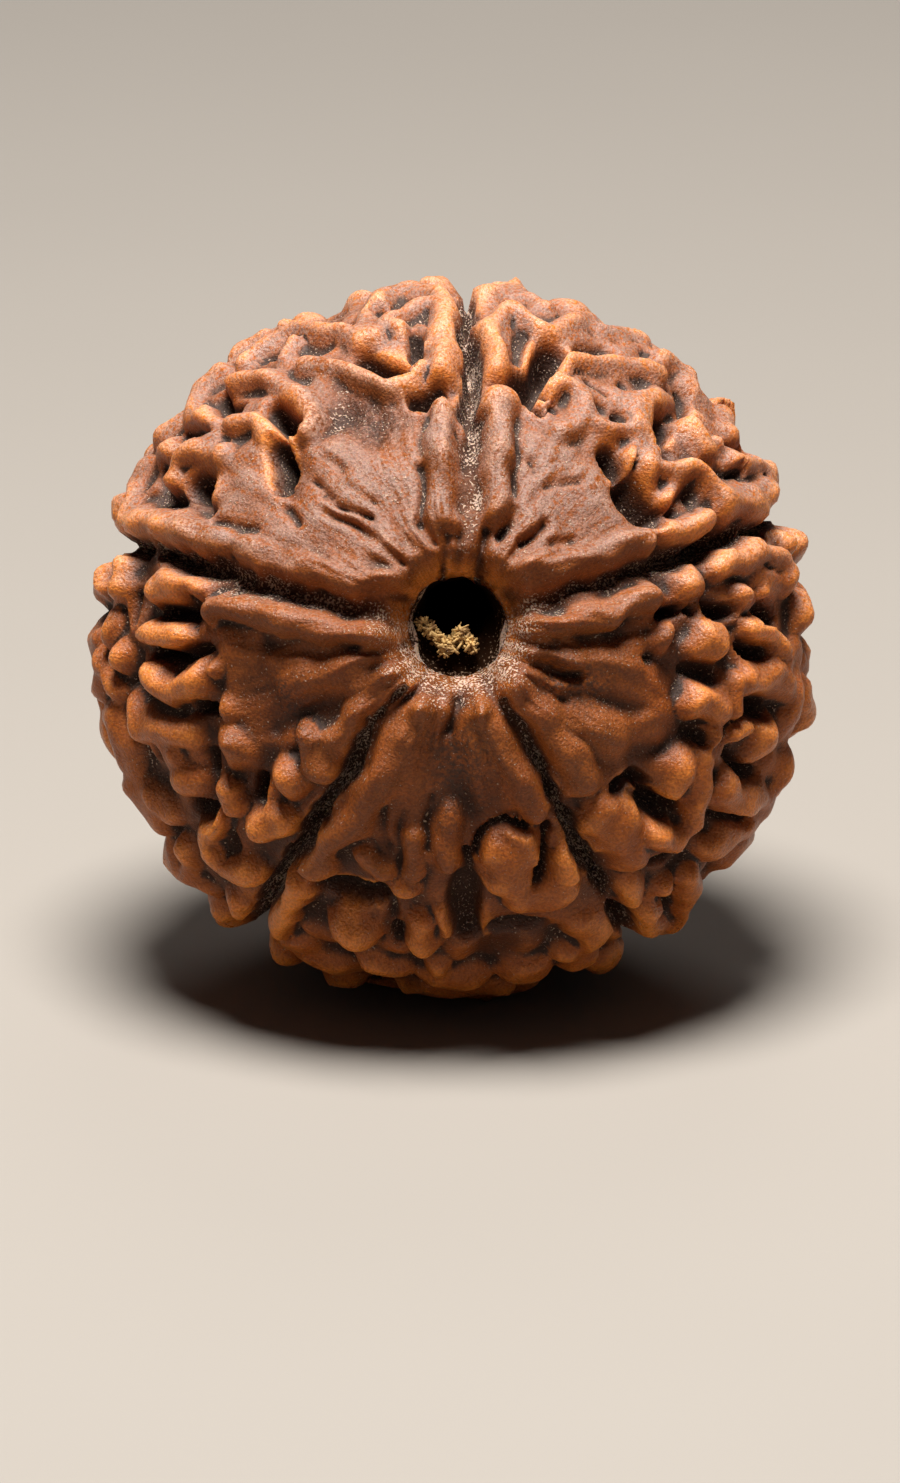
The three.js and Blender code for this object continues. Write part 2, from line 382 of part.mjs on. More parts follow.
const lerp = (a, b, t) => a + (b - a) * t;
const clamp01 = (t) => Math.min(1, Math.max(0, t));
const smooth01 = (t) => clamp01(t) ** 2 * (3 - 2 * clamp01(t));
const distance = (p, q) => Math.hypot(p[0] - q[0], p[1] - q[1], p[2] - q[2]);

function smoothMax(a, b, k) {
  const h = Math.max(k - Math.abs(a - b), 0) / k;
  return Math.max(a, b) + h * h * k / 4;
}

function smoothMin(a, b, k) {
  return -smoothMax(-a, -b, k);
}

function randomDraws(seed) {
  let state = seed >>> 0;
  return () => {
    state = (Math.imul(state, 1664525) + 1013904223) >>> 0;
    return state / 4294967296;
  };
}

// soft lumps of one size, about -1 to 1
function ripple(q, size, seed) {
  let sum = 0;
  for (let i = 0; i < 6; i += 1) {
    const a = seed + i * 2.399963;
    const b = Math.acos(1 - (2 * i + 1) / 6);
    const k = [Math.sin(b) * Math.cos(a), Math.sin(b) * Math.sin(a), Math.cos(b)];
    const along = q[0] * k[0] + q[1] * k[1] + q[2] * k[2];
    const across = q[0] * k[1] + q[1] * k[2] + q[2] * k[0];
    const bend = 0.9 * Math.sin(across * 3.7 / size + i);
    sum += Math.sin(along * 6.283 / size * (1 + 0.13 * i) + bend + seed * (i + 1));
  }
  return sum / 3;
}

// a point of the front on the round body that the crests touch
function onFront([x, z]) {
  let px = x + mouth[0];
  let pz = z + mouth[1];
  const reach = Math.hypot(px, pz);
  const limit = crestRadius * 0.999;
  if (reach > limit) {
    px *= limit / reach;
    pz *= limit / reach;
  }
  return [px, -lengthRatio * Math.sqrt(crestRadius ** 2 - px * px - pz * pz), pz];
}

// a point by its angle from the front mouth and its angle round the canal
function onBody(polar, around) {
  const reach = Math.sin(polar);
  const centre = polar < Math.PI / 2 ? mouth : backMouth;
  const x = centre[0] * (1 - reach) + crestRadius * reach * Math.cos(around);
  const z = centre[1] * (1 - reach) + crestRadius * reach * Math.sin(around);
  const y = lengthRatio * Math.sqrt(Math.max(crestRadius ** 2 - x * x - z * z, 0));
  return [x, polar < Math.PI / 2 ? -y : y, z];
}

// the two angles of a point on the front
function anglesOf(q) {
  let reach = Math.hypot(q[0], q[2]) / crestRadius;
  for (let i = 0; i < 12; i += 1) {
    reach = Math.hypot(q[0] - mouth[0] * (1 - reach), q[2] - mouth[1] * (1 - reach)) / crestRadius;
  }
  const around = Math.atan2(q[2] - mouth[1] * (1 - reach), q[0] - mouth[0] * (1 - reach));
  return [Math.asin(Math.min(reach, 0.9999)), around];
}

// more points on a smooth curve through the given ones
function rounded(points) {
  if (points.length < 3) return points;
  const last = points.length - 1;
  const ends = [
    points[0].map((v, i) => 2 * v - points[1][i]),
    points[last].map((v, i) => 2 * v - points[last - 1][i]),
  ];
  const p = [ends[0], ...points, ends[1]];
  const out = [];
  for (let s = 0; s < last; s += 1) {
    for (let i = 0; i < 3; i += 1) {
      const t = i / 3;
      out.push(p[s].map((a, n) => {
        const [b, c, d] = [p[s + 1][n], p[s + 2][n], p[s + 3][n]];
        const curve = (2 * a - 5 * b + 4 * c - d) * t * t + (3 * b - a - 3 * c + d) * t ** 3;
        return 0.5 * (2 * b + (c - a) * t + curve);
      }));
    }
  }
  out.push(points[last]);
  return out;
}

// distance from a line of points, and how far along it
function toLine(q, line) {
  if (line.length === 1) return [distance(q, line[0]), 0];
  let best = Infinity;
  let at = 0;
  for (let s = 0; s + 1 < line.length; s += 1) {
    const [a, b] = [line[s], line[s + 1]];
    const ab = [b[0] - a[0], b[1] - a[1], b[2] - a[2]];
    const dot = (q[0] - a[0]) * ab[0] + (q[1] - a[1]) * ab[1] + (q[2] - a[2]) * ab[2];
    const t = clamp01(dot / (ab[0] ** 2 + ab[1] ** 2 + ab[2] ** 2));
    const d = distance(q, [a[0] + t * ab[0], a[1] + t * ab[1], a[2] + t * ab[2]]);
    if (d < best) {
      best = d;
      at = s + t;
    }
  }
  return [best, at];
}

// distance in from an outline, negative outside it
function insideOutline(x, z, outline) {
  let inside = false;
  let best = Infinity;
  outline.forEach(([ax, az], i) => {
    const [bx, bz] = outline[(i + 1) % outline.length];
    const [dx, dz] = [bx - ax, bz - az];
    const t = clamp01(((x - ax) * dx + (z - az) * dz) / (dx * dx + dz * dz));
    best = Math.min(best, Math.hypot(x - ax - t * dx, z - az - t * dz));
    if ((az > z) !== (bz > z) && x < ax + (z - az) / dz * dx) inside = !inside;
  });
  return inside ? best : -best;
}

function makeStroke(halfWidth, level, line) {
  const middle = line[Math.floor(line.length / 2)];
  const reach = Math.max(...line.map((p) => distance(p, middle)));
  return { halfWidth, level, line, middle, reach };
}

function strokesOf(rows, spread) {
  return rows.map(([w, level, points]) => makeStroke(w * spread, level, rounded(points).map(onFront)));
}

// each groove runs on from the front, over the side, to the back mouth
const draw = randomDraws(seedOfDraws);
const grooveLines = grooves.map((rows) => {
  const line = rows.map(([w, floor, x, z]) => ({ w, floor, angles: anglesOf(onFront([x, z])) }));
  const end = line[line.length - 1].angles;
  [95, 108, 121, 134, 147, 160, 171].forEach((degrees) => {
    const around = end[1] + (draw() - 0.5) * 0.09;
    const near = degrees > 150;
    const floor = near ? lerp(-0.5, 0.1, (degrees - 150) / 21) : -0.9;
    line.push({ w: near ? 0.26 : 0.36, floor, angles: [degrees * Math.PI / 180, around] });
  });
  line.forEach((p) => {
    p.point = onBody(...p.angles);
  });
  return { ...makeStroke(0, 0, line.map((p) => p.point)), marks: line };
});

const frontRidges = Object.values(ridges).flatMap((rows) => strokesOf(rows, ridgeSpread));

// lips along both edges of each groove from the side to the back, in pieces
function backLips() {
  const lips = [];
  grooveLines.forEach(({ marks }) => {
    [-1, 1].forEach((side) => {
      let polar = Math.PI / 2 - 0.08 + draw() * 0.1;
      while (polar < 2.72) {
        const end = Math.min(polar + 0.25 + draw() * 0.3, 2.8);
        const line = [];
        for (let t = polar; t <= end; t += 0.05) {
          const around = angleAt(marks, t) + side * lipOffset / (crestRadius * Math.sin(t));
          line.push(onBody(t, around));
        }
        if (line.length > 1) lips.push(makeStroke(0.78, 0.88 + 0.1 * draw(), line));
        polar = end + 0.06 + 0.03 * draw();
      }
    });
  });
  return lips;
}

function angleAt(marks, polar) {
  const next = marks.findIndex((m) => m.angles[0] > polar);
  if (next < 0) return marks[marks.length - 1].angles[1];
  if (next === 0) return marks[0].angles[1];
  const [a, b] = [marks[next - 1].angles, marks[next].angles];
  return lerp(a[1], b[1], (polar - a[0]) / (b[0] - a[0]));
}

// bent ridges and knobs that grow on the sides and back wherever there is room
function grownRidges(lips) {
  const taken = [...frontRidges, ...lips].flatMap((s) => s.line);
  const grooveDistance = (q) => Math.min(...grooveLines.map((g) => toLine(q, g.line)[0]));
  const free = (q, own) => grooveDistance(q) > 1.5
    && taken.every((p) => distance(p, q) > wormGap)
    && own.slice(0, -1).every((p) => distance(p, q) > wormStep * 1.5);
  const grown = [];
  for (let tries = 0; tries < 4000; tries += 1) {
    const polar = Math.acos(0.4 - 1.27 * draw());
    const around = 2 * Math.PI * draw();
    let heading = 2 * Math.PI * draw();
    const steps = Math.floor(draw() * 6);
    const line = [];
    let angles = [polar, around];
    for (let s = 0; s <= steps; s += 1) {
      const q = onBody(...angles);
      if (!free(q, line)) break;
      line.push(q);
      heading += (draw() - 0.5) * 1.5;
      angles = [
        angles[0] + wormStep / crestRadius * Math.cos(heading),
        angles[1] + wormStep / crestRadius * Math.sin(heading) / Math.sin(angles[0]),
      ];
    }
    if (line.length > 0) {
      const width = line.length < 3 ? 0.98 : 0.84;
      grown.push(makeStroke(width + 0.14 * draw(), 0.72 + 0.25 * draw(), line));
      taken.push(...line);
    }
  }
  return grown;
}

// deep pits where the ridges of the sides and back leave the most room
function grownPits(grown) {
  const taken = grown.flatMap((s) => s.line);
  const holes = [];
  for (let tries = 0; tries < 1500; tries += 1) {
    const [polar, around] = [Math.acos(0.1 - 0.95 * draw()), 2 * Math.PI * draw()];
    const q = onBody(polar, around);
    if (taken.every((p) => distance(p, q) > 1)) {
      const [halfWidth, level] = [0.48 + 0.2 * draw(), -0.1 - 0.5 * draw()];
      const heading = 2 * Math.PI * draw();
      const [down, along] = [0.06 * Math.cos(heading), 0.06 * Math.sin(heading) / Math.sin(polar)];
      holes.push(makeStroke(halfWidth, level, [q, onBody(polar + down, around + along)]));
      taken.push(q);
    }
  }
  return holes;
}

const lipStrokes = backLips();
const wormStrokes = grownRidges(lipStrokes);
const allRidges = [...frontRidges, ...lipStrokes, ...wormStrokes];
const foldStrokes = strokesOf(folds, 1);
const allPits = [
  ...Object.values(pits).flatMap((rows) => strokesOf(rows, 1.1)),
  ...grownPits(allRidges),
];

const tilt = canalTilt * Math.PI / 180;
const down = [0, Math.sin(tilt), -Math.cos(tilt)];
const restReach = Math.hypot(lengthRatio * down[1], down[2]);
const restPoint = [0, lengthRatio ** 2 * down[1], down[2]].map((v) => crestRadius * v / restReach);

// pleats that run into the front mouth and fade out over the plates
function pleats(x, z, q) {
  const reach = Math.hypot(x, z);
  const turn = Math.atan2(z, x);
  const sway = 0.5 * Math.sin(3 * turn + 1) + 0.35 * Math.sin(7 * turn) + 0.25 * ripple(q, 2.6, 9);
  const pleat = Math.sin(pleatCount * turn + 3 * sway) * (0.6 + 0.4 * Math.sin(5 * turn + 2));
  return pleatHeight * pleat * smooth01((3.9 - reach) / 2.4) * smooth01((reach - 1.4) / 1.1);
}

// height over the valleys at a point of the round body
function relief(point) {
  const wobble = [1, 2, 3].map((seed) => 0.09 * ripple(point, 2.3, seed));
  const q = point.map((v, i) => v + wobble[i]);
  const [x, z] = [q[0] - mouth[0], q[2] - mouth[1]];
  const upper = smooth01((z - 2) / 3) * smooth01((1 - q[1]) / 5);
  let h = 0.24 + 0.2 * upper + 0.16 * ripple(q, 2.1, 5);
  if (q[1] < 0) {
    const far = smooth01((Math.hypot(x, z) - 2.5) / 3.5);
    Object.values(plates).forEach(({ level, outline }) => {
      const share = smooth01(0.5 + insideOutline(x, z, outline) / 0.9);
      h = smoothMax(h, (level - 0.25 * far + 0.09 * ripple(q, 2.6, 7)) * share, 0.2);
    });
  } else {
    const reach = Math.hypot(q[0] - backMouth[0], q[2] - backMouth[1]);
    h = smoothMax(h, 0.6 * smooth01((5.4 - reach) / 1.5), 0.2);
  }
  const swell = 1 + 0.16 * ripple(q, 1.3, 11);
  const rise = 0.1 * ripple(q, 1.6, 4);
  allRidges.forEach(({ halfWidth, level, line, middle, reach }) => {
    if (distance(q, middle) > reach + halfWidth * 1.3) return;
    const d = toLine(q, line)[0] / (halfWidth * swell);
    h = smoothMax(h, (level + rise) * (1 - d ** (line.length > 1 ? 2.4 : 2)), ridgeBlend);
  });
  foldStrokes.forEach(({ halfWidth, level, line, middle, reach }) => {
    if (distance(q, middle) > reach + halfWidth * 2.5) return;
    const [d] = toLine(q, line);
    h += foldDepth * level * Math.exp(-0.9 * (d / halfWidth) ** 2);
  });
  allPits.forEach(({ halfWidth, level, line, middle, reach }) => {
    if (distance(q, middle) > reach + halfWidth * 1.6) return;
    const [d] = toLine(q, line);
    h = smoothMin(h, level + (0.75 - level) * (d / halfWidth) ** 2, 0.25);
  });
  let open = 0;
  const waver = 0.07 * ripple(q, 1.25, 17);
  grooveLines.forEach(({ line, marks }) => {
    const [straight, at] = toLine(q, line);
    const d = Math.abs(straight + waver);
    if (d > 1.2) return;
    const [a, b] = [marks[Math.floor(at)], marks[Math.min(Math.floor(at) + 1, marks.length - 1)]];
    const halfWidth = lerp(a.w, b.w, at % 1);
    const floor = lerp(a.floor, b.floor, at % 1);
    h = smoothMin(h, floor + (0.7 - floor) * (d / halfWidth) ** 2.6, 0.15);
    open = Math.max(open, Math.exp(-((d / halfWidth) ** 4)));
  });
  if (q[1] < 0) h += (1 - 0.8 * open) * pleats(x, z, q);
  const worn = smooth01((restSpot - distance(point, restPoint)) / 0.9);
  return lerp(h, valleyDepth, worn);
}

// angles round the canal of a ring's points, closest together at the grooves
function ringAngles(polar, perFace) {
  const angles = [];
  for (let face = 0; face < 5; face += 1) {
    const from = angleAt(grooveLines[face].marks, polar);
    let to = angleAt(grooveLines[(face + 1) % 5].marks, polar);
    while (to > from) to -= 2 * Math.PI;
    for (let i = 0; i < perFace; i += 1) {
      const even = i / perFace;
      angles.push(lerp(from, to, even - 0.25 * Math.sin(2 * Math.PI * even) / (2 * Math.PI)));
    }
  }
  return angles;
}

// the outside, from the relief of a grid twice as fine, averaged so that no ridge is missed
function outsideRings() {
  const start = Math.asin(mouthRadius / crestRadius);
  const fineRows = [];
  for (let row = -1; row <= 2 * rowsOutside + 1; row += 1) {
    const polar = lerp(start, Math.PI - start, row / (2 * rowsOutside));
    const bodyPoints = ringAngles(polar, 2 * columns / 5).map((around) => onBody(polar, around));
    fineRows.push({ polar, bodyPoints, heights: bodyPoints.map(relief) });
  }
  const nearby = [-1, 0, 1].flatMap((up) => [-1, 0, 1].map((along) => (
    [up, along, (up ? 1 : 4) * (along ? 1 : 4) / 36]
  )));
  const rings = [];
  for (let row = 1; row < fineRows.length - 1; row += 2) {
    const { polar, bodyPoints } = fineRows[row];
    const fromMouth = crestRadius * Math.sin(polar);
    const dip = funnelDepth * clamp01((funnelRadius - fromMouth) / (funnelRadius - mouthRadius)) ** 1.6;
    const step = fromMouth > (polar < 1 ? 2.4 : 5) ? 2 : 4;
    const ring = [];
    for (let i = 0; i < bodyPoints.length; i += step) {
      let height = 0;
      nearby.forEach(([up, along, share]) => {
        const { heights } = fineRows[row + up];
        height += share * heights[(i + along + heights.length) % heights.length];
      });
      const size = Math.hypot(...bodyPoints[i]);
      ring.push(bodyPoints[i].map((v) => v * (size - valleyDepth + height - dip) / size));
    }
    rings.push(ring);
  }
  return rings;
}

// rings from the front mouth over the outside to the back mouth, then back up the canal
function makeRings() {
  const rings = outsideRings();
  const front = rings[0];
  const entry = front.reduce((sum, p) => sum + p[1], 0) / front.length;
  canal.slice().reverse().forEach(([depth, x, z, halfWidth, halfHeight]) => {
    const share = depth / 15;
    const centre = [lerp(mouth[0], backMouth[0], share) + x, lerp(mouth[1], backMouth[1], share) + z];
    rings.push(front.filter((p, i) => i % 2 === 0).map((p) => {
      const around = Math.atan2(p[2] - mouth[1], p[0] - mouth[0]);
      return [
        centre[0] + halfWidth * Math.cos(around),
        entry + depth,
        centre[1] + halfHeight * Math.sin(around),
      ];
    }));
  });
  return rings;
}

// faces between two rings, of which one may have twice the points of the other
function joinRings(points, faces, a, b) {
  const [many, few, flip] = a.count >= b.count ? [a, b, false] : [b, a, true];
  const add = (i, j, k) => faces.push(...(flip ? [i, k, j] : [i, j, k]));
  const at = (ring, i) => ring.first + i % ring.count;
  for (let i = 0; i < few.count; i += 1) {
    const [lower, lowerNext] = [at(few, i), at(few, i + 1)];
    if (many.count !== few.count) {
      const [one, two, three] = [at(many, 2 * i), at(many, 2 * i + 1), at(many, 2 * i + 2)];
      add(one, two, lower);
      add(two, lowerNext, lower);
      add(two, three, lowerNext);
    } else {
      const [upper, upperNext] = [at(many, i), at(many, i + 1)];
      const [one, other] = [[upper, lowerNext], [upperNext, lower]].map((ends) => (
        distance(points[ends[0]], points[ends[1]])
      ));
      const across = one < other;
      add(upper, upperNext, across ? lowerNext : lower);
      add(across ? upper : upperNext, lowerNext, lower);
    }
  }
}

// how far a point lies inside the flat spot's outline, a star of four blunt points
function spotDepth(x, y) {
  const u = Math.abs(x * Math.cos(spotTurn) + y * Math.sin(spotTurn));
  const v = Math.abs(y * Math.cos(spotTurn) - x * Math.sin(spotTurn));
  const waist = spotWaist * Math.SQRT1_2;
  const edge = Math.hypot(waist - spotReach, waist);
  return ((waist - spotReach) * Math.min(u, v) + waist * (spotReach - Math.max(u, v))) / edge;
}

// levels the flat spot and lifts what is round it clear of the surface
function levelSpot(position) {
  for (let i = 0; i < position.count; i += 1) {
    if (position.getZ(i) < seatHeight / 2) {
      const depth = spotDepth(position.getX(i) - bodyShift[0], position.getY(i) - bodyShift[1]);
      const lowest = depth < 0 ? spotGap - 0.25 * depth : 0;
      const level = depth < 0 ? Math.max(position.getZ(i), lowest) : 0;
      position.setZ(i, level);
    }
  }
  for (let corner = 0; corner < 4; corner += 1) {
    const turn = spotTurn + corner * Math.PI / 2;
    const x = bodyShift[0] + spotReach * Math.cos(turn);
    const y = bodyShift[1] + spotReach * Math.sin(turn);
    let nearest = 0;
    let shortest = Infinity;
    for (let i = 0; i < position.count; i += 1) {
      const away = Math.hypot(position.getX(i) - x, position.getY(i) - y, position.getZ(i));
      if (away < shortest) {
        shortest = away;
        nearest = i;
      }
    }
    position.setXYZ(nearest, x, y, 0);
  }
}

function seedGeometry() {
  const rings = makeRings();
  const points = rings.flat();
  const faces = [];
  let first = 0;
  const spans = rings.map((ring) => {
    const span = { first, count: ring.length };
    first += ring.length;
    return span;
  });
  spans.forEach((span, i) => joinRings(points, faces, span, spans[(i + 1) % spans.length]));
  const geometry = new THREE.BufferGeometry();
  geometry.setAttribute('position', new THREE.Float32BufferAttribute(points.flat(), 3));
  geometry.setIndex(faces);
  geometry.rotateX(-tilt);
  geometry.translate(bodyShift[0], bodyShift[1], seatHeight);
  levelSpot(geometry.attributes.position);
  geometry.computeVertexNormals();
  return geometry;
}

const stone = new THREE.MeshStandardMaterial({ color: 0x8a5638, roughness: 0.5, metalness: 0 });
const seed = new THREE.Mesh(seedGeometry(), stone);
seed.name = 'seed';

const part = new THREE.Group();
part.add(seed);

export default part;
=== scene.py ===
import bpy
import bmesh
import math
import numpy as np
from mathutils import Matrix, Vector


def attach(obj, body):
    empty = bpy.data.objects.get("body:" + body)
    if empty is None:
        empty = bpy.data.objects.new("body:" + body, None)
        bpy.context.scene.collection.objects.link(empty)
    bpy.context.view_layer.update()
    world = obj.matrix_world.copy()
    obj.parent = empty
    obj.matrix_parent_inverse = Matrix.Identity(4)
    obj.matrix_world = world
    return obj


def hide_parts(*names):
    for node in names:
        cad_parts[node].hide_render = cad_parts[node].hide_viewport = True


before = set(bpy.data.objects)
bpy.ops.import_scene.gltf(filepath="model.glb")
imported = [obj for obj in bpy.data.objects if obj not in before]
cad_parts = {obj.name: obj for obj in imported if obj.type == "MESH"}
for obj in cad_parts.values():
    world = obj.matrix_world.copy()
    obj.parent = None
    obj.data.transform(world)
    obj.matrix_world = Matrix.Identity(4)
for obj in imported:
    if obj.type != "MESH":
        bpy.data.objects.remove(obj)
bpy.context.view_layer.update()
bpy.ops.object.select_all(action="DESELECT")
mm = .001

# the seed: a five-faced rudraksha stone, lying on its side, its canal's front mouth toward -Y and tipped up
# lengths are in millimetres; places on the front are right of and above the canal's mouth, looking in
seed = {
    "crestRadius": 9.85,       # half the width over the crests
    "lengthRatio": .9,         # length along the canal over the width
    "valleyDepth": .85,        # crests down to valleys
    "canalTilt": 19,           # degrees that the front mouth points up
    "mouth": (.15, .4),        # front mouth from the seed's axis
    "backMouth": (-.2, .1),
    "mouthRadius": 1.6,
    "funnelRadius": 2.2,       # where the surface starts to dip into the mouth
    "funnelDepth": 1.15,
    "ridgeSpread": 1.45,       # half width at the valley over the stated half width
    "ridgeBlend": .22,
    "pitSpread": 1.1,
    "foldDepth": 1.9,          # creases on the plates over their stated depth
    "grooveSway": .09,         # how far a groove wanders on the back, radians
    "lipOffset": 1.02,         # groove's middle to the crest of its lip, on the back
    "lipWidth": .78,
    "lipHeights": (.88, .98),
    "lipLengths": (.25, .55),  # radians along the groove, like the gaps between them
    "lipGaps": (.06, .09),
    "wormTries": 4000,         # ridges tried on the sides and back, and kept where there is room
    "wormBand": (.4, -.87),    # where they start: cosines of the angle from the front mouth
    "wormGap": 1.55,           # least distance between them
    "wormSteps": 6,
    "wormStep": .6,
    "wormBend": 1.5,           # radians a step
    "wormWidths": (.84, .98),
    "wormHeights": (.72, .97),
    "knobWidths": (.98, 1.12),
    "grooveGap": 1.5,          # from them to a groove's middle
    "pitTries": 1500,
    "pitBand": (.1, -.85),
    "pitGap": 1,
    "pitLength": .06,          # radians
    "pitWidths": (.48, .68),
    "pitFloors": (-.1, -.6),
    "restSpot": 3.2,           # radius of the worn spot that it rests on
    "spotReach": 2.9,          # the flat spot's four points from its middle
    "spotWaist": 1.7,          # the flat spot's edge from its middle, half-way between two points
    "spotTurn": .35,           # turn of the four points, radians
    "spotGap": .12,            # the rest of the seed stays this high over the floor
    "seatHeight": 9.5,         # middle of the seed above the floor
    "shift": (.02, -.1),
    "around": 440,             # points round the seed
    "rings": 216,
    "canalCuts": 26,
    "draws": 20,               # start of the seeded draws
}

# grooves between the faces, from the front mouth out: half width, floor, x, z
grooves = [
    [(.32, .5, .3, 2.2), (.36, .42, .3, 3.7), (.38, .05, .33, 4.6), (.38, -.5, .36, 6),
     (.34, -.9, .33, 7.6), (.32, -.9, .2, 8.9)],
    [(.2, .36, 1.7, .45), (.29, .18, 3, .75), (.33, 0, 4.2, 1.15), (.36, -.3, 5.6, 1.7),
     (.32, -.6, 7, 2.2), (.28, -.8, 8.6, 2.75)],
    [(.14, .3, 1.25, -2.2), (.2, 0, 1.9, -3.3), (.25, -.4, 2.6, -4.6), (.27, -.7, 3.3, -6),
     (.28, -.9, 4, -7.3), (.28, -.9, 4.7, -8.5)],
    [(.14, .3, -1.5, -1.8), (.22, 0, -2.3, -2.8), (.28, -.4, -3.1, -4.1), (.3, -.7, -4, -5.5),
     (.32, -.9, -4.9, -7), (.3, -.9, -5.6, -8.2)],
    [(.28, .38, -2.1, .3), (.33, .28, -3.4, .45), (.37, .12, -4.8, .87), (.4, -.05, -6.2, 1.28),
     (.36, -.35, -7.6, 1.75), (.3, -.7, -9.2, 2.25)],
]

# smooth plate of each face round the mouth: level over the valleys, outline
plates = {
    "upperLeft": (.76, [(-.12, 1.6), (-.12, 3), (-.12, 5.9), (-.6, 6.05), (-1.5, 6.2), (-2.2, 6.6),
     (-3, 7), (-3.9, 7.1), (-4.4, 6.6), (-4.1, 6.1), (-4.1, 5.3), (-4.3, 4.9), (-4.3, 4.2), (-4.6, 3.6),
     (-5.3, 4), (-5.6, 4.8), (-6.3, 4.5), (-6.3, 3.8), (-6.8, 3.2), (-7.6, 3), (-7.6, 2.1), (-6, 1.7),
     (-5, 1.3), (-4, 1), (-3, .75), (-2, .65), (-1.3, .9)]),
    "upperRight": (.76, [(.72, 1.6), (.72, 3), (.74, 6), (1.5, 5.6), (2, 5.6), (2.7, 5.3), (3.4, 5.1),
     (3.7, 4.7), (4, 4.2), (4.3, 3.5), (4.7, 2.9), (5.3, 2.6), (5.4, 1.85), (4, 1.3), (3, .95), (2, .7),
     (1.2, 1.1)]),
    "right": (.62, [(1.5, .15), (3, .4), (4.3, .85), (5.4, 1.2), (5.6, .3), (6, -.2), (6.1, -.9),
     (5.7, -1.1), (6, -1.8), (5.9, -2.8), (5.7, -3.4), (5.2, -3.6), (4.6, -4), (4, -4.4), (3.4, -5.1),
     (3, -4.7), (2.2, -3.2), (1.5, -2.1), (1.2, -1.5)]),
    "bottom": (.62, [(-.9, -1.9), (-.1, -2.2), (.6, -2), (1, -2.3), (1.6, -3.4), (2.3, -4.7), (2.8, -5.6),
     (2.3, -5.5), (1.5, -5.4), (.6, -5.6), (.2, -6.3), (.1, -6.9), (-.5, -7), (-1, -6.9), (-1.2, -7.3),
     (-1.9, -7.1), (-2.8, -7), (-3.2, -6.8), (-3.9, -6.9), (-4.5, -6.9), (-3.7, -5.6), (-2.8, -4.2),
     (-2, -3.1), (-1.4, -2.3)]),
    "left": (.6, [(-2, 0), (-3.4, .2), (-5, .65), (-6.4, 1), (-7, .6), (-7, -.3), (-6.9, -1),
     (-6.5, -1.6), (-6.5, -2.3), (-6.8, -3), (-6.2, -3.8), (-5.6, -4), (-5.2, -3.4), (-4.5, -3.6),
     (-4.2, -4.5), (-3.6, -4.5), (-2.8, -3.1), (-2, -2.1), (-1.4, -1.5)]),
}

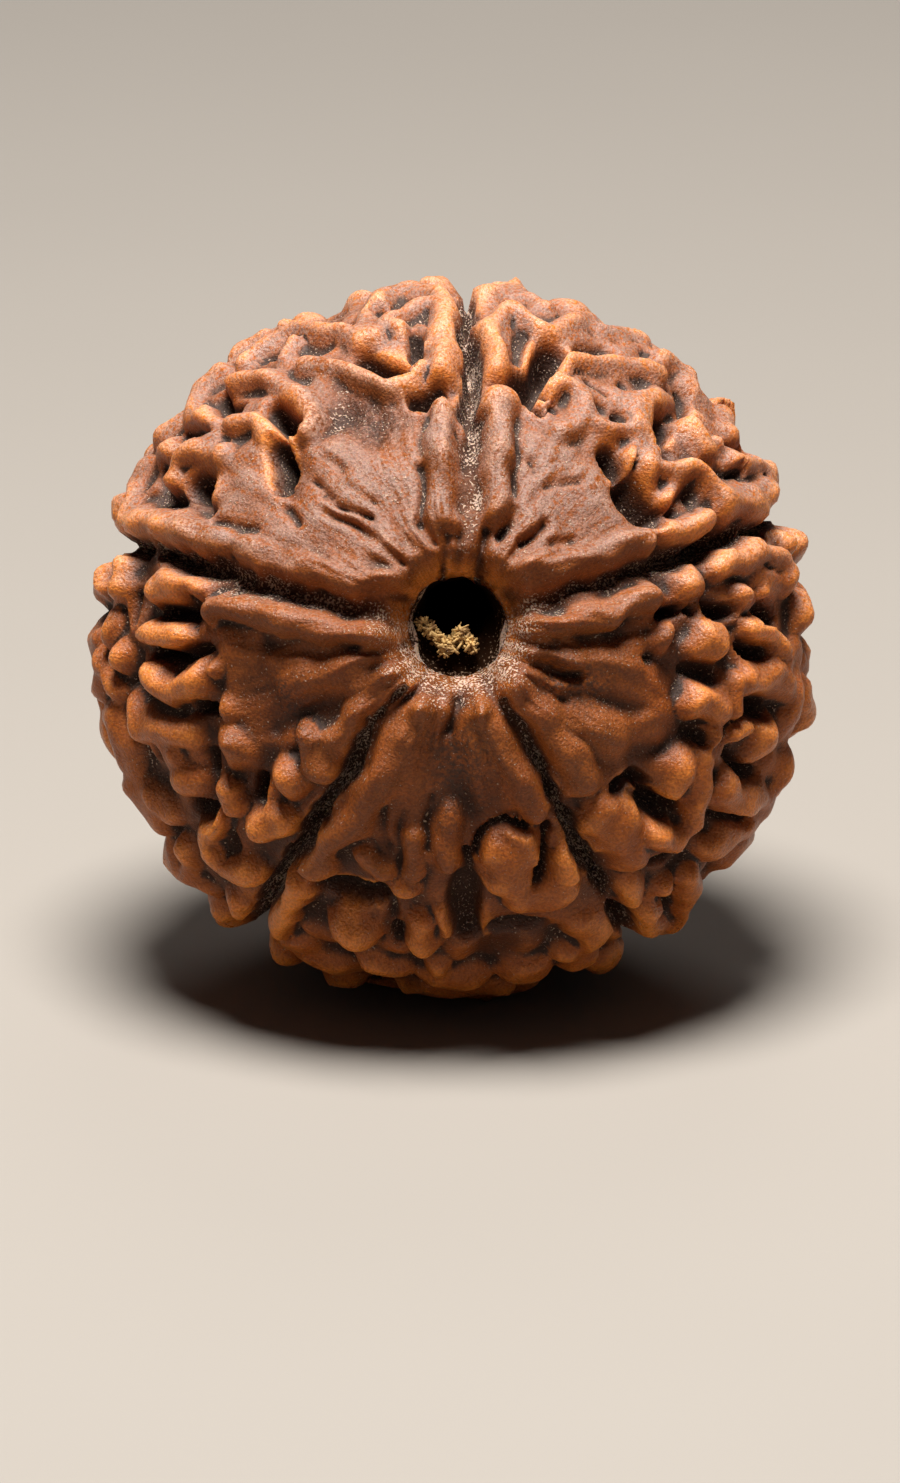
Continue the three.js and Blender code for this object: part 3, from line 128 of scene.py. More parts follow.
# ridges and knobs of the front: half width, height over the valleys, points
ridges = {
    "upperLeft": [
        (.5, .88, [(-9.1, 2.85), (-8.2, 2.7), (-7.2, 2.4), (-6.4, 2.2)]),
        (.45, .96, [(-5.9, 2.05), (-5.2, 1.8), (-4.3, 1.5), (-3.5, 1.3), (-2.8, 1.15)]),
        (.35, .72, [(-2.4, 1.15), (-1.8, 1.15), (-1.5, 1.2)]),
        (.42, .98, [(-.5, 2.8), (-.5, 3.6), (-.5, 5), (-.45, 5.75)]),
        (.42, .9, [(-.5, 6.75), (-.42, 7.4), (-.42, 8.3), (-.6, 9)]),
        (.45, .9, [(-.8, 9.1), (-1.5, 9.15), (-2.2, 8.9), (-2.5, 8.3), (-2.5, 7.9)]),
        (.32, .85, [(-.9, 8.75), (-1.5, 8.5), (-2, 8.1), (-2.3, 7.8)]),
        (.25, .7, [(-1, 8.2), (-.95, 7.6)]), (.34, .9, [(-1.95, 8.05), (-1.55, 7.95)]),
        (.35, .85, [(-4.2, 7), (-3.3, 7), (-2.7, 6.75), (-2, 6.35), (-1.4, 6.6), (-1.05, 6.95)]),
        (.4, .9, [(-2.7, 7.75), (-3.4, 8), (-4.3, 8.1), (-5, 7.85), (-5.6, 7.4), (-5.9, 7.1)]),
        (.3, .8, [(-4.5, 7.7), (-4.8, 7.2)]),
        (.4, .85, [(-6.2, 6.6), (-5.5, 6.75), (-4.9, 6.6), (-4.4, 6.3), (-4.1, 5.8), (-4, 5.3)]),
        (.45, .85, [(-6.6, 6.85), (-7.1, 6.3), (-7.2, 5.75), (-6.8, 5.5)]),
        (.4, .85, [(-6.15, 5.45), (-5.6, 5.5), (-5.2, 5.1), (-4.7, 4.95)]),
        (.45, .8, [(-8.2, 4.75), (-7.9, 4.95)]),
        (.4, .88, [(-7.9, 3.95), (-7.6, 4.5), (-7.1, 4.7), (-6.4, 4.6)]),
        (.4, .8, [(-6.7, 5), (-7.3, 4.85)]), (.45, .8, [(-8.9, 3.9), (-8.95, 3.3)]),
        (.4, .75, [(-8.5, 4.9), (-8.8, 4.2)]), (.7, .86, [(-8.75, 4.2)]),
        (.66, .86, [(-8.05, 5.3), (-7.75, 5.7)]), (.62, .86, [(-7, 6.5), (-6.7, 6.75)]),
        (.58, .86, [(-5.9, 7.5), (-5.5, 7.8)]), (.52, .82, [(-4.7, 8.25)]),
        (.5, .6, [(-3.4, 7.5), (-4.6, 7.3)]),
    ],
    "upperRight": [
        (.42, .98, [(1.08, 2.9), (1.1, 3.6), (1.1, 4.8), (1.05, 5.9), (1.05, 6.05)]),
        (.38, .92, [(1.1, 6.85), (1, 7.6), (1, 8.3), (1.4, 8.5), (1.9, 8.25), (2.4, 8.1), (3, 8.15),
         (3.6, 8.35)]),
        (.58, .84, [(.85, 9.1), (1.4, 9.15), (1.95, 8.95), (2.3, 8.6)]),
        (.36, .88, [(2, 6.25), (2.6, 6.75), (3.2, 7.1), (4, 7.15), (4.8, 7.05), (5.4, 6.85)]),
        (.4, .85, [(3.9, 8.05), (4.6, 8), (5.1, 7.75)]), (.42, .88, [(5.5, 7.2), (6.1, 7), (6.3, 6.6)]),
        (.34, .85, [(2.5, 6.35), (2.95, 6.5), (3.35, 6.25), (3.4, 5.8), (3.1, 5.4), (2.7, 5.2)]),
        (.5, .88, [(5.5, 6.3), (5, 5.9), (4.9, 5.3), (5.1, 4.7), (5.2, 4.2)]),
        (.3, .8, [(3.7, 5.4), (4.2, 5.25), (4.7, 5.2)]), (.22, .8, [(4.5, 4.25), (4.9, 4.9)]),
        (.4, .9, [(6.25, 5.4), (6.6, 5), (6.8, 4.7)]), (.32, .8, [(7.1, 4.95)]),
        (.5, .88, [(7.3, 5.75), (7.45, 5.35)]), (.32, .88, [(5.65, 4.15)]),
        (.36, .9, [(5.9, 4.1), (6.4, 4.2), (6.8, 3.95), (7.1, 3.6)]),
        (.22, .75, [(5.6, 3.3), (5.95, 3.8)]),
        (.42, .98, [(1.9, 1.35), (2.6, 1.5), (3.4, 1.75), (4.2, 2.05), (5, 2.3)]),
        (.38, .88, [(5.6, 2.55), (6.2, 2.6), (6.75, 2.85)]),
        (.55, .92, [(7.3, 3.35), (8, 3.4), (8.45, 3.7)]),
        (.5, .9, [(8.5, 3.5), (8.5, 4), (8.2, 4.35), (7.6, 4.5)]),
        (.55, .64, [(3.4, 8.3), (5.2, 7.5), (6.7, 6.3), (7.7, 5.1)]), (.5, .6, [(3.2, 6.6), (4.3, 6.2)]),
    ],
    "right": [
        (.36, 1.04, [(1.8, -.2), (2.5, -.18), (3.2, -.05), (3.9, .15), (4.6, .45), (5.2, .7)]),
        (.42, .9, [(5.3, .75)]), (.52, .85, [(6.4, 1.2)]),
        (.42, .88, [(7.2, 1.6), (7.7, 1.85), (8.3, 1.95), (8.8, 1.8)]), (.5, .8, [(8.2, 1.3), (8.7, 1.1)]),
        (.42, .85, [(7.75, .8)]), (.4, .85, [(8.3, .85)]), (.6, .9, [(9, 1.3)]), (.4, .9, [(9.1, 2.2)]),
        (.5, .88, [(9.4, .6), (9.35, .2)]),
        (.34, .88, [(8, -.15), (8.35, -.15), (8.75, -.6), (8.95, -1.1)]), (.68, .95, [(6.95, -.45)]),
        (.45, .7, [(5.65, -.4)]), (.5, .9, [(6.5, -2.2), (7.2, -2.3)]),
        (.3, .8, [(7.6, -1.6), (7.65, -2.4)]),
        (.48, .88, [(8, -1.5), (8.7, -1.5), (9.15, -1.9), (9.1, -2.4)]), (.68, .9, [(8.4, -3.1)]),
        (.3, .8, [(7.9, -2.9), (7.6, -3.1)]),
        (.56, .92, [(7.25, -4.6), (7.8, -4.85), (8.35, -4.75), (8.75, -4.2), (8.9, -3.6)]),
        (.6, .84, [(7.1, -6.1), (7.8, -5.6), (8.5, -4.9)]), (.62, .9, [(6.1, -4.1)]),
        (.35, .8, [(6.8, -3.3), (7.1, -3)]),
        (.42, .9, [(5.2, -5.75), (5.9, -5.9), (6.35, -5.5), (6.5, -4.9), (6.6, -4.3), (6.75, -3.8)]),
        (.62, .92, [(4, -5.2), (4.5, -5.9), (4.8, -6.4)]), (.32, .85, [(4.75, -7), (4.85, -7.6)]),
        (.38, .85, [(5.6, -7.3)]),
        (.42, .88, [(6.35, -6.9), (6.35, -7.5), (6, -8.1), (5.5, -8.35), (5.15, -8)]),
        (.3, .8, [(5.5, -7.9)]),
        (.5, .85, [(1.5, -1.8), (2.1, -2.4), (2.7, -3.2), (3.3, -4), (3.5, -4.25)]),
        (.2, .75, [(1.4, -1.25), (2.2, -1.5), (2.9, -1.75)]),
        (.7, .74, [(9.3, -.9), (9.2, -2.2), (8.8, -3.6), (8.1, -4.8)]), (.5, .6, [(7.6, .4), (8.3, 1.3)]),
    ],
    "bottom": [
        (.45, .85, [(-.95, -2.5), (-1.6, -3.2), (-2, -3.9), (-2.4, -4.7), (-2.9, -5.4), (-3.6, -6.1),
         (-4, -6.7)]),
        (.42, .85, [(-4.4, -7.2), (-4.7, -7.8), (-4.9, -8.4)]), (.4, .8, [(-4.7, -8.8), (-4.2, -8.9)]),
        (.42, .8, [(.6, -2.5), (1.1, -3.3), (1.6, -4.2), (2, -4.8), (2.2, -5.1)]),
        (.36, .7, [(-.3, -5.3), (-.3, -6), (-.3, -6.6)]), (.4, .85, [(-1.45, -7.35)]),
        (.3, .7, [(-1.2, -6), (-1.3, -6.9)]), (.35, .7, [(-2.6, -6.5), (-2.1, -6.8)]),
        (.76, 1.08, [(-2.85, -8.4)]), (.55, .85, [(-2.2, -9.35)]), (.4, .8, [(-1, -8.3), (-.9, -8.9)]),
        (.25, .7, [(-.4, -8), (-.3, -8.6)]), (.4, .8, [(-.6, -9.5)]), (.68, .9, [(1.3, -6.3), (1.35, -7)]),
        (.5, .9, [(1.2, -7.1), (1.7, -7.5), (2.4, -7.6), (2.9, -7.3)]), (.45, .92, [(3, -6.4), (3, -6.8)]),
        (.35, .85, [(1.5, -5.8), (1.9, -6.3)]), (.6, .85, [(3.6, -8.3), (3.8, -8.7)]),
        (.45, .8, [(2.9, -9.1), (3.4, -9.3)]), (.35, .75, [(1.75, -9.5)]), (.4, .75, [(4.3, -9.2)]),
        (.7, .84, [(-4, -9.2), (-3.4, -9.45)]), (.62, .86, [(-1.95, -9.5)]),
        (.66, .82, [(-.5, -9.8), (.2, -9.8)]), (.6, .84, [(1.6, -9.65), (2.1, -9.5)]),
        (.6, .8, [(3.3, -9.2)]),
    ],
    "left": [
        (.4, 1.04, [(-6.6, .35), (-6, .45), (-5.2, .2), (-4.3, -.05), (-3.4, -.25), (-2.6, -.45),
         (-2.2, -.45)]),
        (.5, .95, [(-8.25, 1), (-7.7, 1.05)]), (.28, .8, [(-7.4, 1.15), (-7, .95)]),
        (.36, .88, [(-8.6, -.25), (-8, -.35), (-7.6, -.35)]),
        (.42, .9, [(-8.4, -1.5), (-7.9, -1.85), (-7.2, -1.6)]), (.5, .9, [(-7.1, -1.6)]),
        (.3, .8, [(-6.7, -1.3)]), (.5, .85, [(-9.35, 1.5), (-9.4, .9)]),
        (.4, .8, [(-9.55, .2), (-9.6, -.4)]), (.45, .85, [(-9.3, -.85)]),
        (.45, .85, [(-9.75, -1.1), (-9.5, -1.7)]), (.35, .8, [(-9.1, -2.1), (-8.8, -2.6)]),
        (.45, .8, [(-8.7, -2.8), (-8, -2.95), (-7.4, -3)]), (.4, .8, [(-9.1, -3.3), (-8.9, -4.1)]),
        (.55, .85, [(-7.6, -4.3)]), (.5, .8, [(-8.4, -4.8), (-8, -5.2)]), (.3, .75, [(-7.8, -3.6)]),
        (.6, .85, [(-6.2, -3.4)]), (.4, .75, [(-6.3, -2.4)]), (.3, .85, [(-6.35, -4.6), (-6.2, -5.1)]),
        (.3, .8, [(-6.6, -5.4), (-6.9, -6)]),
        (.45, .8, [(-1.6, -1.4), (-2.2, -1.9), (-2.8, -2.5), (-3.3, -3.2), (-3.8, -4)]),
        (.6, .95, [(-4.6, -4.2)]), (.42, .9, [(-4.1, -3.2), (-4, -3.9)]),
        (.48, .92, [(-4.9, -5.35), (-5.4, -5.55)]), (.45, .9, [(-6.7, -6.3), (-6.3, -6.7), (-5.8, -6.8)]),
        (.4, .85, [(-6.9, -5.8)]), (.42, .85, [(-6.2, -7.6), (-6.1, -7.9)]),
        (.4, .8, [(-7.6, -6.2), (-7.4, -6.9), (-6.9, -7.4)]), (.85, .92, [(-9.85, -1.5)]),
        (.8, .9, [(-9.45, -2.7), (-9.3, -3.5)]), (.8, .88, [(-8.95, -4.5), (-8.5, -5.1)]),
        (.7, .85, [(-7.9, -6.4), (-7.4, -7)]), (.6, .8, [(-6.8, -7.8)]),
        (.55, .64, [(-8.2, -3.2), (-7.5, -4.3)]),
    ],
}

# creases and soft swells over them: half width, added height, points
folds = [
    (.2, -.15, [(-8.6, 3.65), (-7.7, 3.4), (-6.9, 3.1)]), (.14, -.1, [(-6.6, 2.75), (-5.6, 2.5)]),
    (.8, -.2, [(-3.1, 5.8), (-2.2, 5.5)]), (.11, -.13, [(-1.5, 1.5), (-2.1, 2.1), (-2.8, 2.5), (-3.6, 3)]),
    (.09, -.11, [(-2.4, 2.75), (-3, 3), (-3.7, 3.45)]), (.08, -.08, [(-2.3, 3.2), (-2.9, 3.7)]),
    (.12, -.08, [(-3.7, 4.5), (-3.2, 4.1)]), (.14, -.14, [(-4.75, 3.1), (-4.4, 2.75)]),
    (.1, -.16, [(-.95, 2.7), (-1, 3.6), (-1.1, 4.3)]), (.1, -.1, [(-.95, 4.6), (-.9, 5.8)]),
    (.15, -.15, [(-.95, 2.6), (-.7, 2.2)]), (.08, -.09, [(-4.1, 3.85), (-3.3, 3.35)]),
    (.12, -.14, [(1.9, 4.35), (2, 4.1)]), (.12, -.09, [(2.4, 3.65), (3.2, 3.75)]),
    (.13, -.16, [(1.7, 2.1), (2.3, 2.6)]), (.14, -.1, [(2.5, 2.15), (3.1, 2.3)]),
    (.15, -.2, [(1.2, 2.3), (1.5, 3)]), (.09, -.18, [(1.55, 3.1), (1.57, 4.2), (1.55, 5.3)]),
    (.18, .1, [(1.5, -.7), (2.2, -.85), (3.2, -1)]), (.18, -.2, [(2.2, -1.05), (3.3, -1.45)]),
    (.5, .16, [(3.8, -2.9), (4.4, -3.2)]), (.2, -.15, [(5.3, -1.1)]),
    (.12, -.14, [(-.82, -4.9), (-.88, -6.3)]), (.15, -.08, [(-2.1, -5.2), (-2, -6.2)]),
    (.12, -.07, [(-1.55, -5.3), (-1.7, -6.8)]), (.15, -.16, [(-.15, -2.3), (-.15, -3)]),
    (1, -.15, [(0, -3.6), (0, -4.8)]), (.2, .13, [(.27, 2.9), (.24, 1.5)]),
    (.15, -.2, [(-.4, 2.5), (-.5, 1.5)]), (.15, -.2, [(.84, 2.4), (.72, 1.55)]),
    (.22, .13, [(-2, 1.25), (-1.3, .95)]), (.24, .13, [(1.35, 1.3), (2.2, 1.7)]),
    (.2, .1, [(1.45, -.02), (2.2, -.12)]), (.24, .13, [(.95, -1.15), (1.6, -1.9)]),
    (.24, .1, [(.3, -1.5), (.45, -2.4)]), (.24, .1, [(-.7, -1.35), (-1, -2.1)]),
    (.24, .12, [(-1.2, -.85), (-1.9, -1.35)]), (.34, .1, [(-2.4, -1.05), (-3.6, -1.5), (-4.8, -1.75)]),
    (.24, -.1, [(-2.8, -.8), (-4, -.8), (-5.4, -.5)]),
    (.28, -.1, [(-3.2, -2.1), (-4.2, -2.6), (-5.2, -2.9)]), (.28, .07, [(-1.3, -3.5), (-1.7, -4.6)]),
    (.28, .08, [(.5, -3.4), (.6, -4.9)]), (.28, .09, [(2.9, -.95), (4.4, -1.2), (5.4, -1.6)]),
    (.22, -.1, [(2.6, -.55), (4, -.4), (5.3, -.2)]), (.24, -.1, [(2.9, -2.1), (3.9, -2.1), (5, -2.4)]),
    (.2, .1, [(-1.5, -.15), (-2.3, -.3)]), (.7, -.05, [(2.7, -1.5), (3.7, -1.8)]),
    (.6, -.04, [(-4.9, -1.9), (-4.4, -2.6)]),
]

# pits between the ridges: half width, floor over the valleys, points
pits = {
    "upperLeft": [
        (.26, -.1, [(-2.15, 8.65), (-1.85, 8.55)]), (.24, -.4, [(-1.15, 7.9), (-1.2, 7.45)]),
        (.22, -.2, [(-1.35, 7.15)]), (.4, -.8, [(-2.65, 7.3), (-2.1, 7.1), (-1.6, 6.95)]),
        (.36, -.5, [(-1.1, 6.15), (-.7, 6.25)]), (.75, .25, [(-3.75, 8.9)]),
        (.45, .25, [(-4.1, 7.65), (-3.7, 7.6)]), (.22, 0, [(-5.3, 7.4), (-4.95, 7.5)]),
        (.32, -.1, [(-6.6, 6.3), (-6.5, 6), (-6.15, 5.95)]),
        (.32, -.6, [(-5.1, 5.85), (-4.75, 5.5), (-4.5, 5.3)]), (.46, -.9, [(-4.95, 4.75), (-4.85, 4.15)]),
        (.3, -.4, [(-4.9, 3.75)]), (.48, -.9, [(-7.35, 3.8), (-7.1, 3.68)]),
        (.3, 0, [(-8.3, 4.3), (-8.4, 3.8)]), (.2, .05, [(-7.55, 5.35), (-7, 5.15)]),
    ],
    "upperRight": [
        (.28, .35, [(1.6, 8.85)]), (.46, -.9, [(2.6, 7.6), (2.35, 7.25), (2, 6.9), (1.75, 6.4)]),
        (.2, -.2, [(1.9, 6), (2.2, 5.75)]), (.28, .1, [(1.75, 8), (1.65, 7.4)]),
        (.38, -.05, [(3.4, 7.6), (4.1, 7.55)]), (.2, .3, [(5.15, 7.45)]),
        (.22, .1, [(3.65, 6.6), (3.95, 6.4)]), (.22, 0, [(4.5, 6.6)]), (.3, .25, [(3.85, 5.9)]),
        (.26, 0, [(4.35, 5.65)]), (.2, 0, [(2.25, 6.2)]), (.22, .1, [(2.6, 5.85)]),
        (.42, -.7, [(5.65, 5.5), (5.55, 5), (5.8, 4.75)]),
        (.32, -.4, [(6.2, 6.4), (6.25, 5.95), (6.6, 5.5)]), (.25, -.1, [(7.5, 4.85), (7.85, 4.75)]),
        (.34, -.5, [(4.15, 4.6), (4.3, 4.2)]), (.55, -.6, [(4.7, 3.6), (5.1, 3.2)]), (.4, -.5, [(5.4, 3)]),
        (.36, 0, [(6.45, 3.5)]), (.18, .2, [(7.2, 4.2), (7.7, 4.2)]), (.18, -.1, [(6.9, 4.3)]),
    ],
    "right": [
        (.3, -.5, [(5.7, .3), (6.1, .35)]), (.32, -.6, [(7, .45), (7.5, .3)]), (.25, -.2, [(6.5, .3)]),
        (.3, -.6, [(8.3, .3), (8.8, .2)]), (.26, -.5, [(7.9, -.65), (8.4, -.75)]),
        (.38, -.15, [(6.5, -1.35), (7, -1.4)]), (.38, -.5, [(8.1, -2.25), (8.5, -2.4)]),
        (.28, -.4, [(7.5, -3.6), (7.9, -4), (8.2, -4.1)]), (.3, -.1, [(6.4, -3.1), (6.8, -3.2)]),
        (.42, -.8, [(5.3, -4.95), (5.8, -5.15)]), (.3, -.5, [(4.4, -4.5), (4.9, -4.3), (5.2, -4.5)]),
        (.25, -.3, [(5.4, -6.75), (5.9, -6.65)]), (.14, .1, [(6, -7.3), (5.9, -7.7)]),
        (.22, -.2, [(7, -5.4), (7.8, -5.35)]),
    ],
    "bottom": [
        (.5, -.9, [(-3.6, -7.4), (-2.9, -7.5), (-2.2, -7.6)]), (.28, 0, [(-4.15, -8)]),
        (.24, 0, [(-1.9, -7.9), (-1.85, -8.3)]), (.5, -.35, [(.2, -7.3), (.2, -8), (.3, -8.8)]),
        (.22, -.2, [(-1.6, -8.5), (-1.6, -8.9)]), (.18, -.4, [(2.3, -5.9), (2.25, -6.5), (2.1, -7.05)]),
        (.16, -.2, [(.5, -6.4), (.6, -6), (.85, -5.72), (1.3, -5.6), (1.8, -5.65)]),
        (.2, -.2, [(.25, -6.3), (.3, -7)]), (.5, -.3, [(1.2, -8.6), (2.2, -8.5)]),
        (.25, -.2, [(2.4, -5.75)]),
    ],
    "left": [
        (.3, -.5, [(-8.2, .3), (-7.6, .3)]), (.28, -.6, [(-7.4, .4)]),
        (.26, -.5, [(-8.4, -.85), (-7.7, -.95), (-7.2, -.75)]), (.25, -.1, [(-7.8, -1.25)]),
        (.26, -.6, [(-7.2, -2.4), (-6.8, -2.5)]), (.22, -.4, [(-9.05, .8), (-9.1, .2)]),
        (.3, 0, [(-9.2, -1.45)]), (.4, .1, [(-8.3, -3.6)]), (.35, -.6, [(-7.3, -5.2), (-6.9, -5.3)]),
        (.36, -.8, [(-5.6, -4.4), (-5.65, -4.8)]), (.3, .1, [(-6.3, -6), (-6.2, -6.2)]),
        (.22, -.3, [(-7.25, -5.9), (-7.2, -6.3)]), (.25, -.2, [(-6.9, -4.2), (-7, -3.6)]),
    ],
}

# canal wall from the front mouth in: depth, x, z, half width, half height
canal = [
    (0, 0, -.12, 1.18, 1.46), (.4, 0, -.12, 1.16, 1.46), (.65, 0, .25, 1.04, 1.08), (.85, 0, .48, .94, .8),
    (1.7, 0, .46, .88, .72), (2.4, 0, .35, .9, .95), (4, 0, .55, .92, .98), (6.5, 0, -.2, .92, .96),
    (9, 0, -1.25, .9, .94), (11.5, 0, -.8, .92, .96), (13.6, 0, -.2, 1, 1.06), (15, 0, 0, 1.1, 1.15),
]


def makeDraws(start):
    # even draws from 0 to 1, the same on each run
    state, wrap = start, 2 ** 32

    def draw():
        nonlocal state
        state = (state * 1664525 + 1013904223) % wrap
        return state / wrap
    return draw


def smoothMax(a, b, k):
    h = np.maximum(k - np.abs(a - b), 0) / k
    return np.maximum(a, b) + h * h * k / 4


def smoothMin(a, b, k):
    return -smoothMax(-a, -b, k)


def smoothStep(t):
    t = np.clip(t, 0, 1)
    return t * t * (3 - 2 * t)


def lerp(a, b, t):
    return a + (b - a) * t


def ripple(q, size, start):
    # soft lumps of one size, about -1 to 1: bent waves in directions spread over a ball
    waves, goldenAngle, fullTurn = 6, 2.399963, 6.283
    total = np.zeros(len(q))
    for i in range(waves):
        a = start + i * goldenAngle
        b = math.acos(1 - (2 * i + 1) / waves)
        k = (math.sin(b) * math.cos(a), math.sin(b) * math.sin(a), math.cos(b))
        along = q @ np.array(k)
        across = q @ np.array((k[1], k[2], k[0]))
        bend = .9 * np.sin(across * 3.7 / size + i)
        total += np.sin(along * fullTurn / size * (1 + .13 * i) + bend + start * (i + 1))
    return total / 3


def grain(q, size, start):
    # uneven lumps of one size from a lattice of draws, about -1 to 1
    scatter, mixing, wrap = (73856093, 19349663, 83492791), 1274126177, 0xFFFFFFFF
    cell = np.floor(q / size).astype(np.int64)
    t = smoothStep(q / size - cell)
    total = np.zeros(len(q))
    for corner in np.ndindex(2, 2, 2):
        k = ((cell + corner) * scatter).sum(1) + start * 7919
        k = ((k ^ (k >> 13)) & wrap) * mixing & wrap
        value = ((k ^ (k >> 15)) & 0xFFFF) / 32767.5 - 1
        total += value * np.prod(np.where(corner, t, 1 - t), axis=1)
    return total


def onFront(x, z):
    px, pz = x + seed["mouth"][0], z + seed["mouth"][1]
    reach, limit = math.hypot(px, pz), seed["crestRadius"] * .999
    if reach > limit:
        px, pz = px * limit / reach, pz * limit / reach
    return (px, -seed["lengthRatio"] * math.sqrt(seed["crestRadius"] ** 2 - px * px - pz * pz), pz)


def onBody(polar, around):
    # a point by its angle from the front mouth and its angle round the canal
    reach, radius = math.sin(polar), seed["crestRadius"]
    centre = seed["mouth"] if polar < math.pi / 2 else seed["backMouth"]
    x = centre[0] * (1 - reach) + radius * reach * math.cos(around)
    z = centre[1] * (1 - reach) + radius * reach * math.sin(around)
    y = seed["lengthRatio"] * math.sqrt(max(radius ** 2 - x * x - z * z, 0))
    return (x, -y if polar < math.pi / 2 else y, z)


def anglesOf(q):
    # the two angles of a point on the front half, settled in a few rounds
    radius, (mx, mz) = seed["crestRadius"], seed["mouth"]
    reach = math.hypot(q[0], q[2]) / radius
    for _ in range(12):
        reach = math.hypot(q[0] - mx * (1 - reach), q[2] - mz * (1 - reach)) / radius
    return (math.asin(min(reach, .9999)), math.atan2(q[2] - mz * (1 - reach), q[0] - mx * (1 - reach)))


def rounded(points):
    # a smooth curve through the points, three steps to each stretch
    if len(points) < 3:
        return points
    p = [np.array(s, float) for s in points]
    p = [2 * p[0] - p[1]] + p + [2 * p[-1] - p[-2]]
    out = []
    for a, b, c, d in zip(p, p[1:], p[2:], p[3:]):
        for i in range(3):
            t = i / 3
            curve = (2 * a - 5 * b + 4 * c - d) * t * t + (3 * b - a - 3 * c + d) * t ** 3
            out.append(.5 * (2 * b + (c - a) * t + curve))
    out.append(p[-2])
    return out


def toLine(points, line):
    # distance to a line of points, and how many stretches along it the nearest place lies
    if len(line) == 1:
        return np.linalg.norm(points - line[0], axis=1), np.zeros(len(points))
    best = np.full(len(points), 1e9)
    at = np.zeros(len(points))
    for i in range(len(line) - 1):
        a, ab = line[i], line[i + 1] - line[i]
        t = np.clip(((points - a) @ ab) / (ab @ ab), 0, 1)
        d = np.linalg.norm(points - a - t[:, None] * ab, axis=1)
        nearer = d < best
        best[nearer], at[nearer] = d[nearer], i + t[nearer]
    return best, at


def insideOutline(x, z, outline):
    # distance to the outline, negative outside it
    inside = np.zeros(len(x), bool)
    best = np.full(len(x), 1e9)
    for (ax, az), (bx, bz) in zip(outline, outline[1:] + outline[:1]):
        dx, dz = bx - ax, bz - az
        t = np.clip(((x - ax) * dx + (z - az) * dz) / (dx * dx + dz * dz), 0, 1)
        best = np.minimum(best, np.hypot(x - ax - t * dx, z - az - t * dz))
        if dz:
            inside ^= ((az > z) != (bz > z)) & (x < ax + (z - az) / dz * dx)
    return np.where(inside, best, -best)


def makeStroke(halfWidth, level, line):
    # a ridge, crease or pit along a line, with the ball that holds the line
    line = np.array([tuple(p) for p in line], float)
    middle = line[len(line) // 2]
    return {"halfWidth": halfWidth, "level": level, "line": line, "middle": middle,
            "reach": np.linalg.norm(line - middle, axis=1).max()}


def strokesOf(rows, spread):
    return [makeStroke(w * spread, level, [onFront(*p) for p in rounded(points)])
            for w, level, points in rows]


def angleAt(marks, polar):
    # a groove's angle round the canal at an angle from the front mouth
    following = [i for i, m in enumerate(marks) if m["angles"][0] > polar]
    if not following:
        return marks[-1]["angles"][1]
    if following[0] == 0:
        return marks[0]["angles"][1]
    a, b = marks[following[0] - 1]["angles"], marks[following[0]]["angles"]
    return lerp(a[1], b[1], (polar - a[0]) / (b[0] - a[0]))


def growGrooves(draw):
    # each groove runs on from the front, over the side, to the back mouth
    lines = []
    for rows in grooves:
        marks = [{"halfWidth": halfWidth, "floor": floor, "angles": anglesOf(onFront(x, z))}
                 for halfWidth, floor, x, z in rows]
        end = marks[-1]["angles"]
        for degrees in (95, 108, 121, 134, 147, 160, 171):      # from the front mouth
            around = end[1] + (draw() - .5) * seed["grooveSway"]
            nearMouth = degrees > 150
            marks.append({
                "halfWidth": .26 if nearMouth else .36,
                "floor": lerp(-.5, .1, (degrees - 150) / 21) if nearMouth else -.9,
                "angles": (degrees * math.pi / 180, around),
            })
        lines.append({**makeStroke(0, 0, [onBody(*m["angles"]) for m in marks]), "marks": marks})
    return lines


def growLips(grooveLines, draw):
    # lips along both edges of each groove from the side to the back, in pieces
    lips = []
    lastStart, lastEnd = 2.72, 2.8      # radians from the front mouth
    for groove in grooveLines:
        for side in (-1, 1):
            polar = math.pi / 2 - .08 + draw() * .1
            while polar < lastStart:
                end = min(polar + lerp(*seed["lipLengths"], draw()), lastEnd)
                line, t = [], polar
                while t <= end:
                    offset = side * seed["lipOffset"] / (seed["crestRadius"] * math.sin(t))
                    line.append(onBody(t, angleAt(groove["marks"], t) + offset))
                    t += .05
                if len(line) > 1:
                    lips.append(makeStroke(seed["lipWidth"], lerp(*seed["lipHeights"], draw()), line))
                polar = end + lerp(*seed["lipGaps"], draw())
    return lips


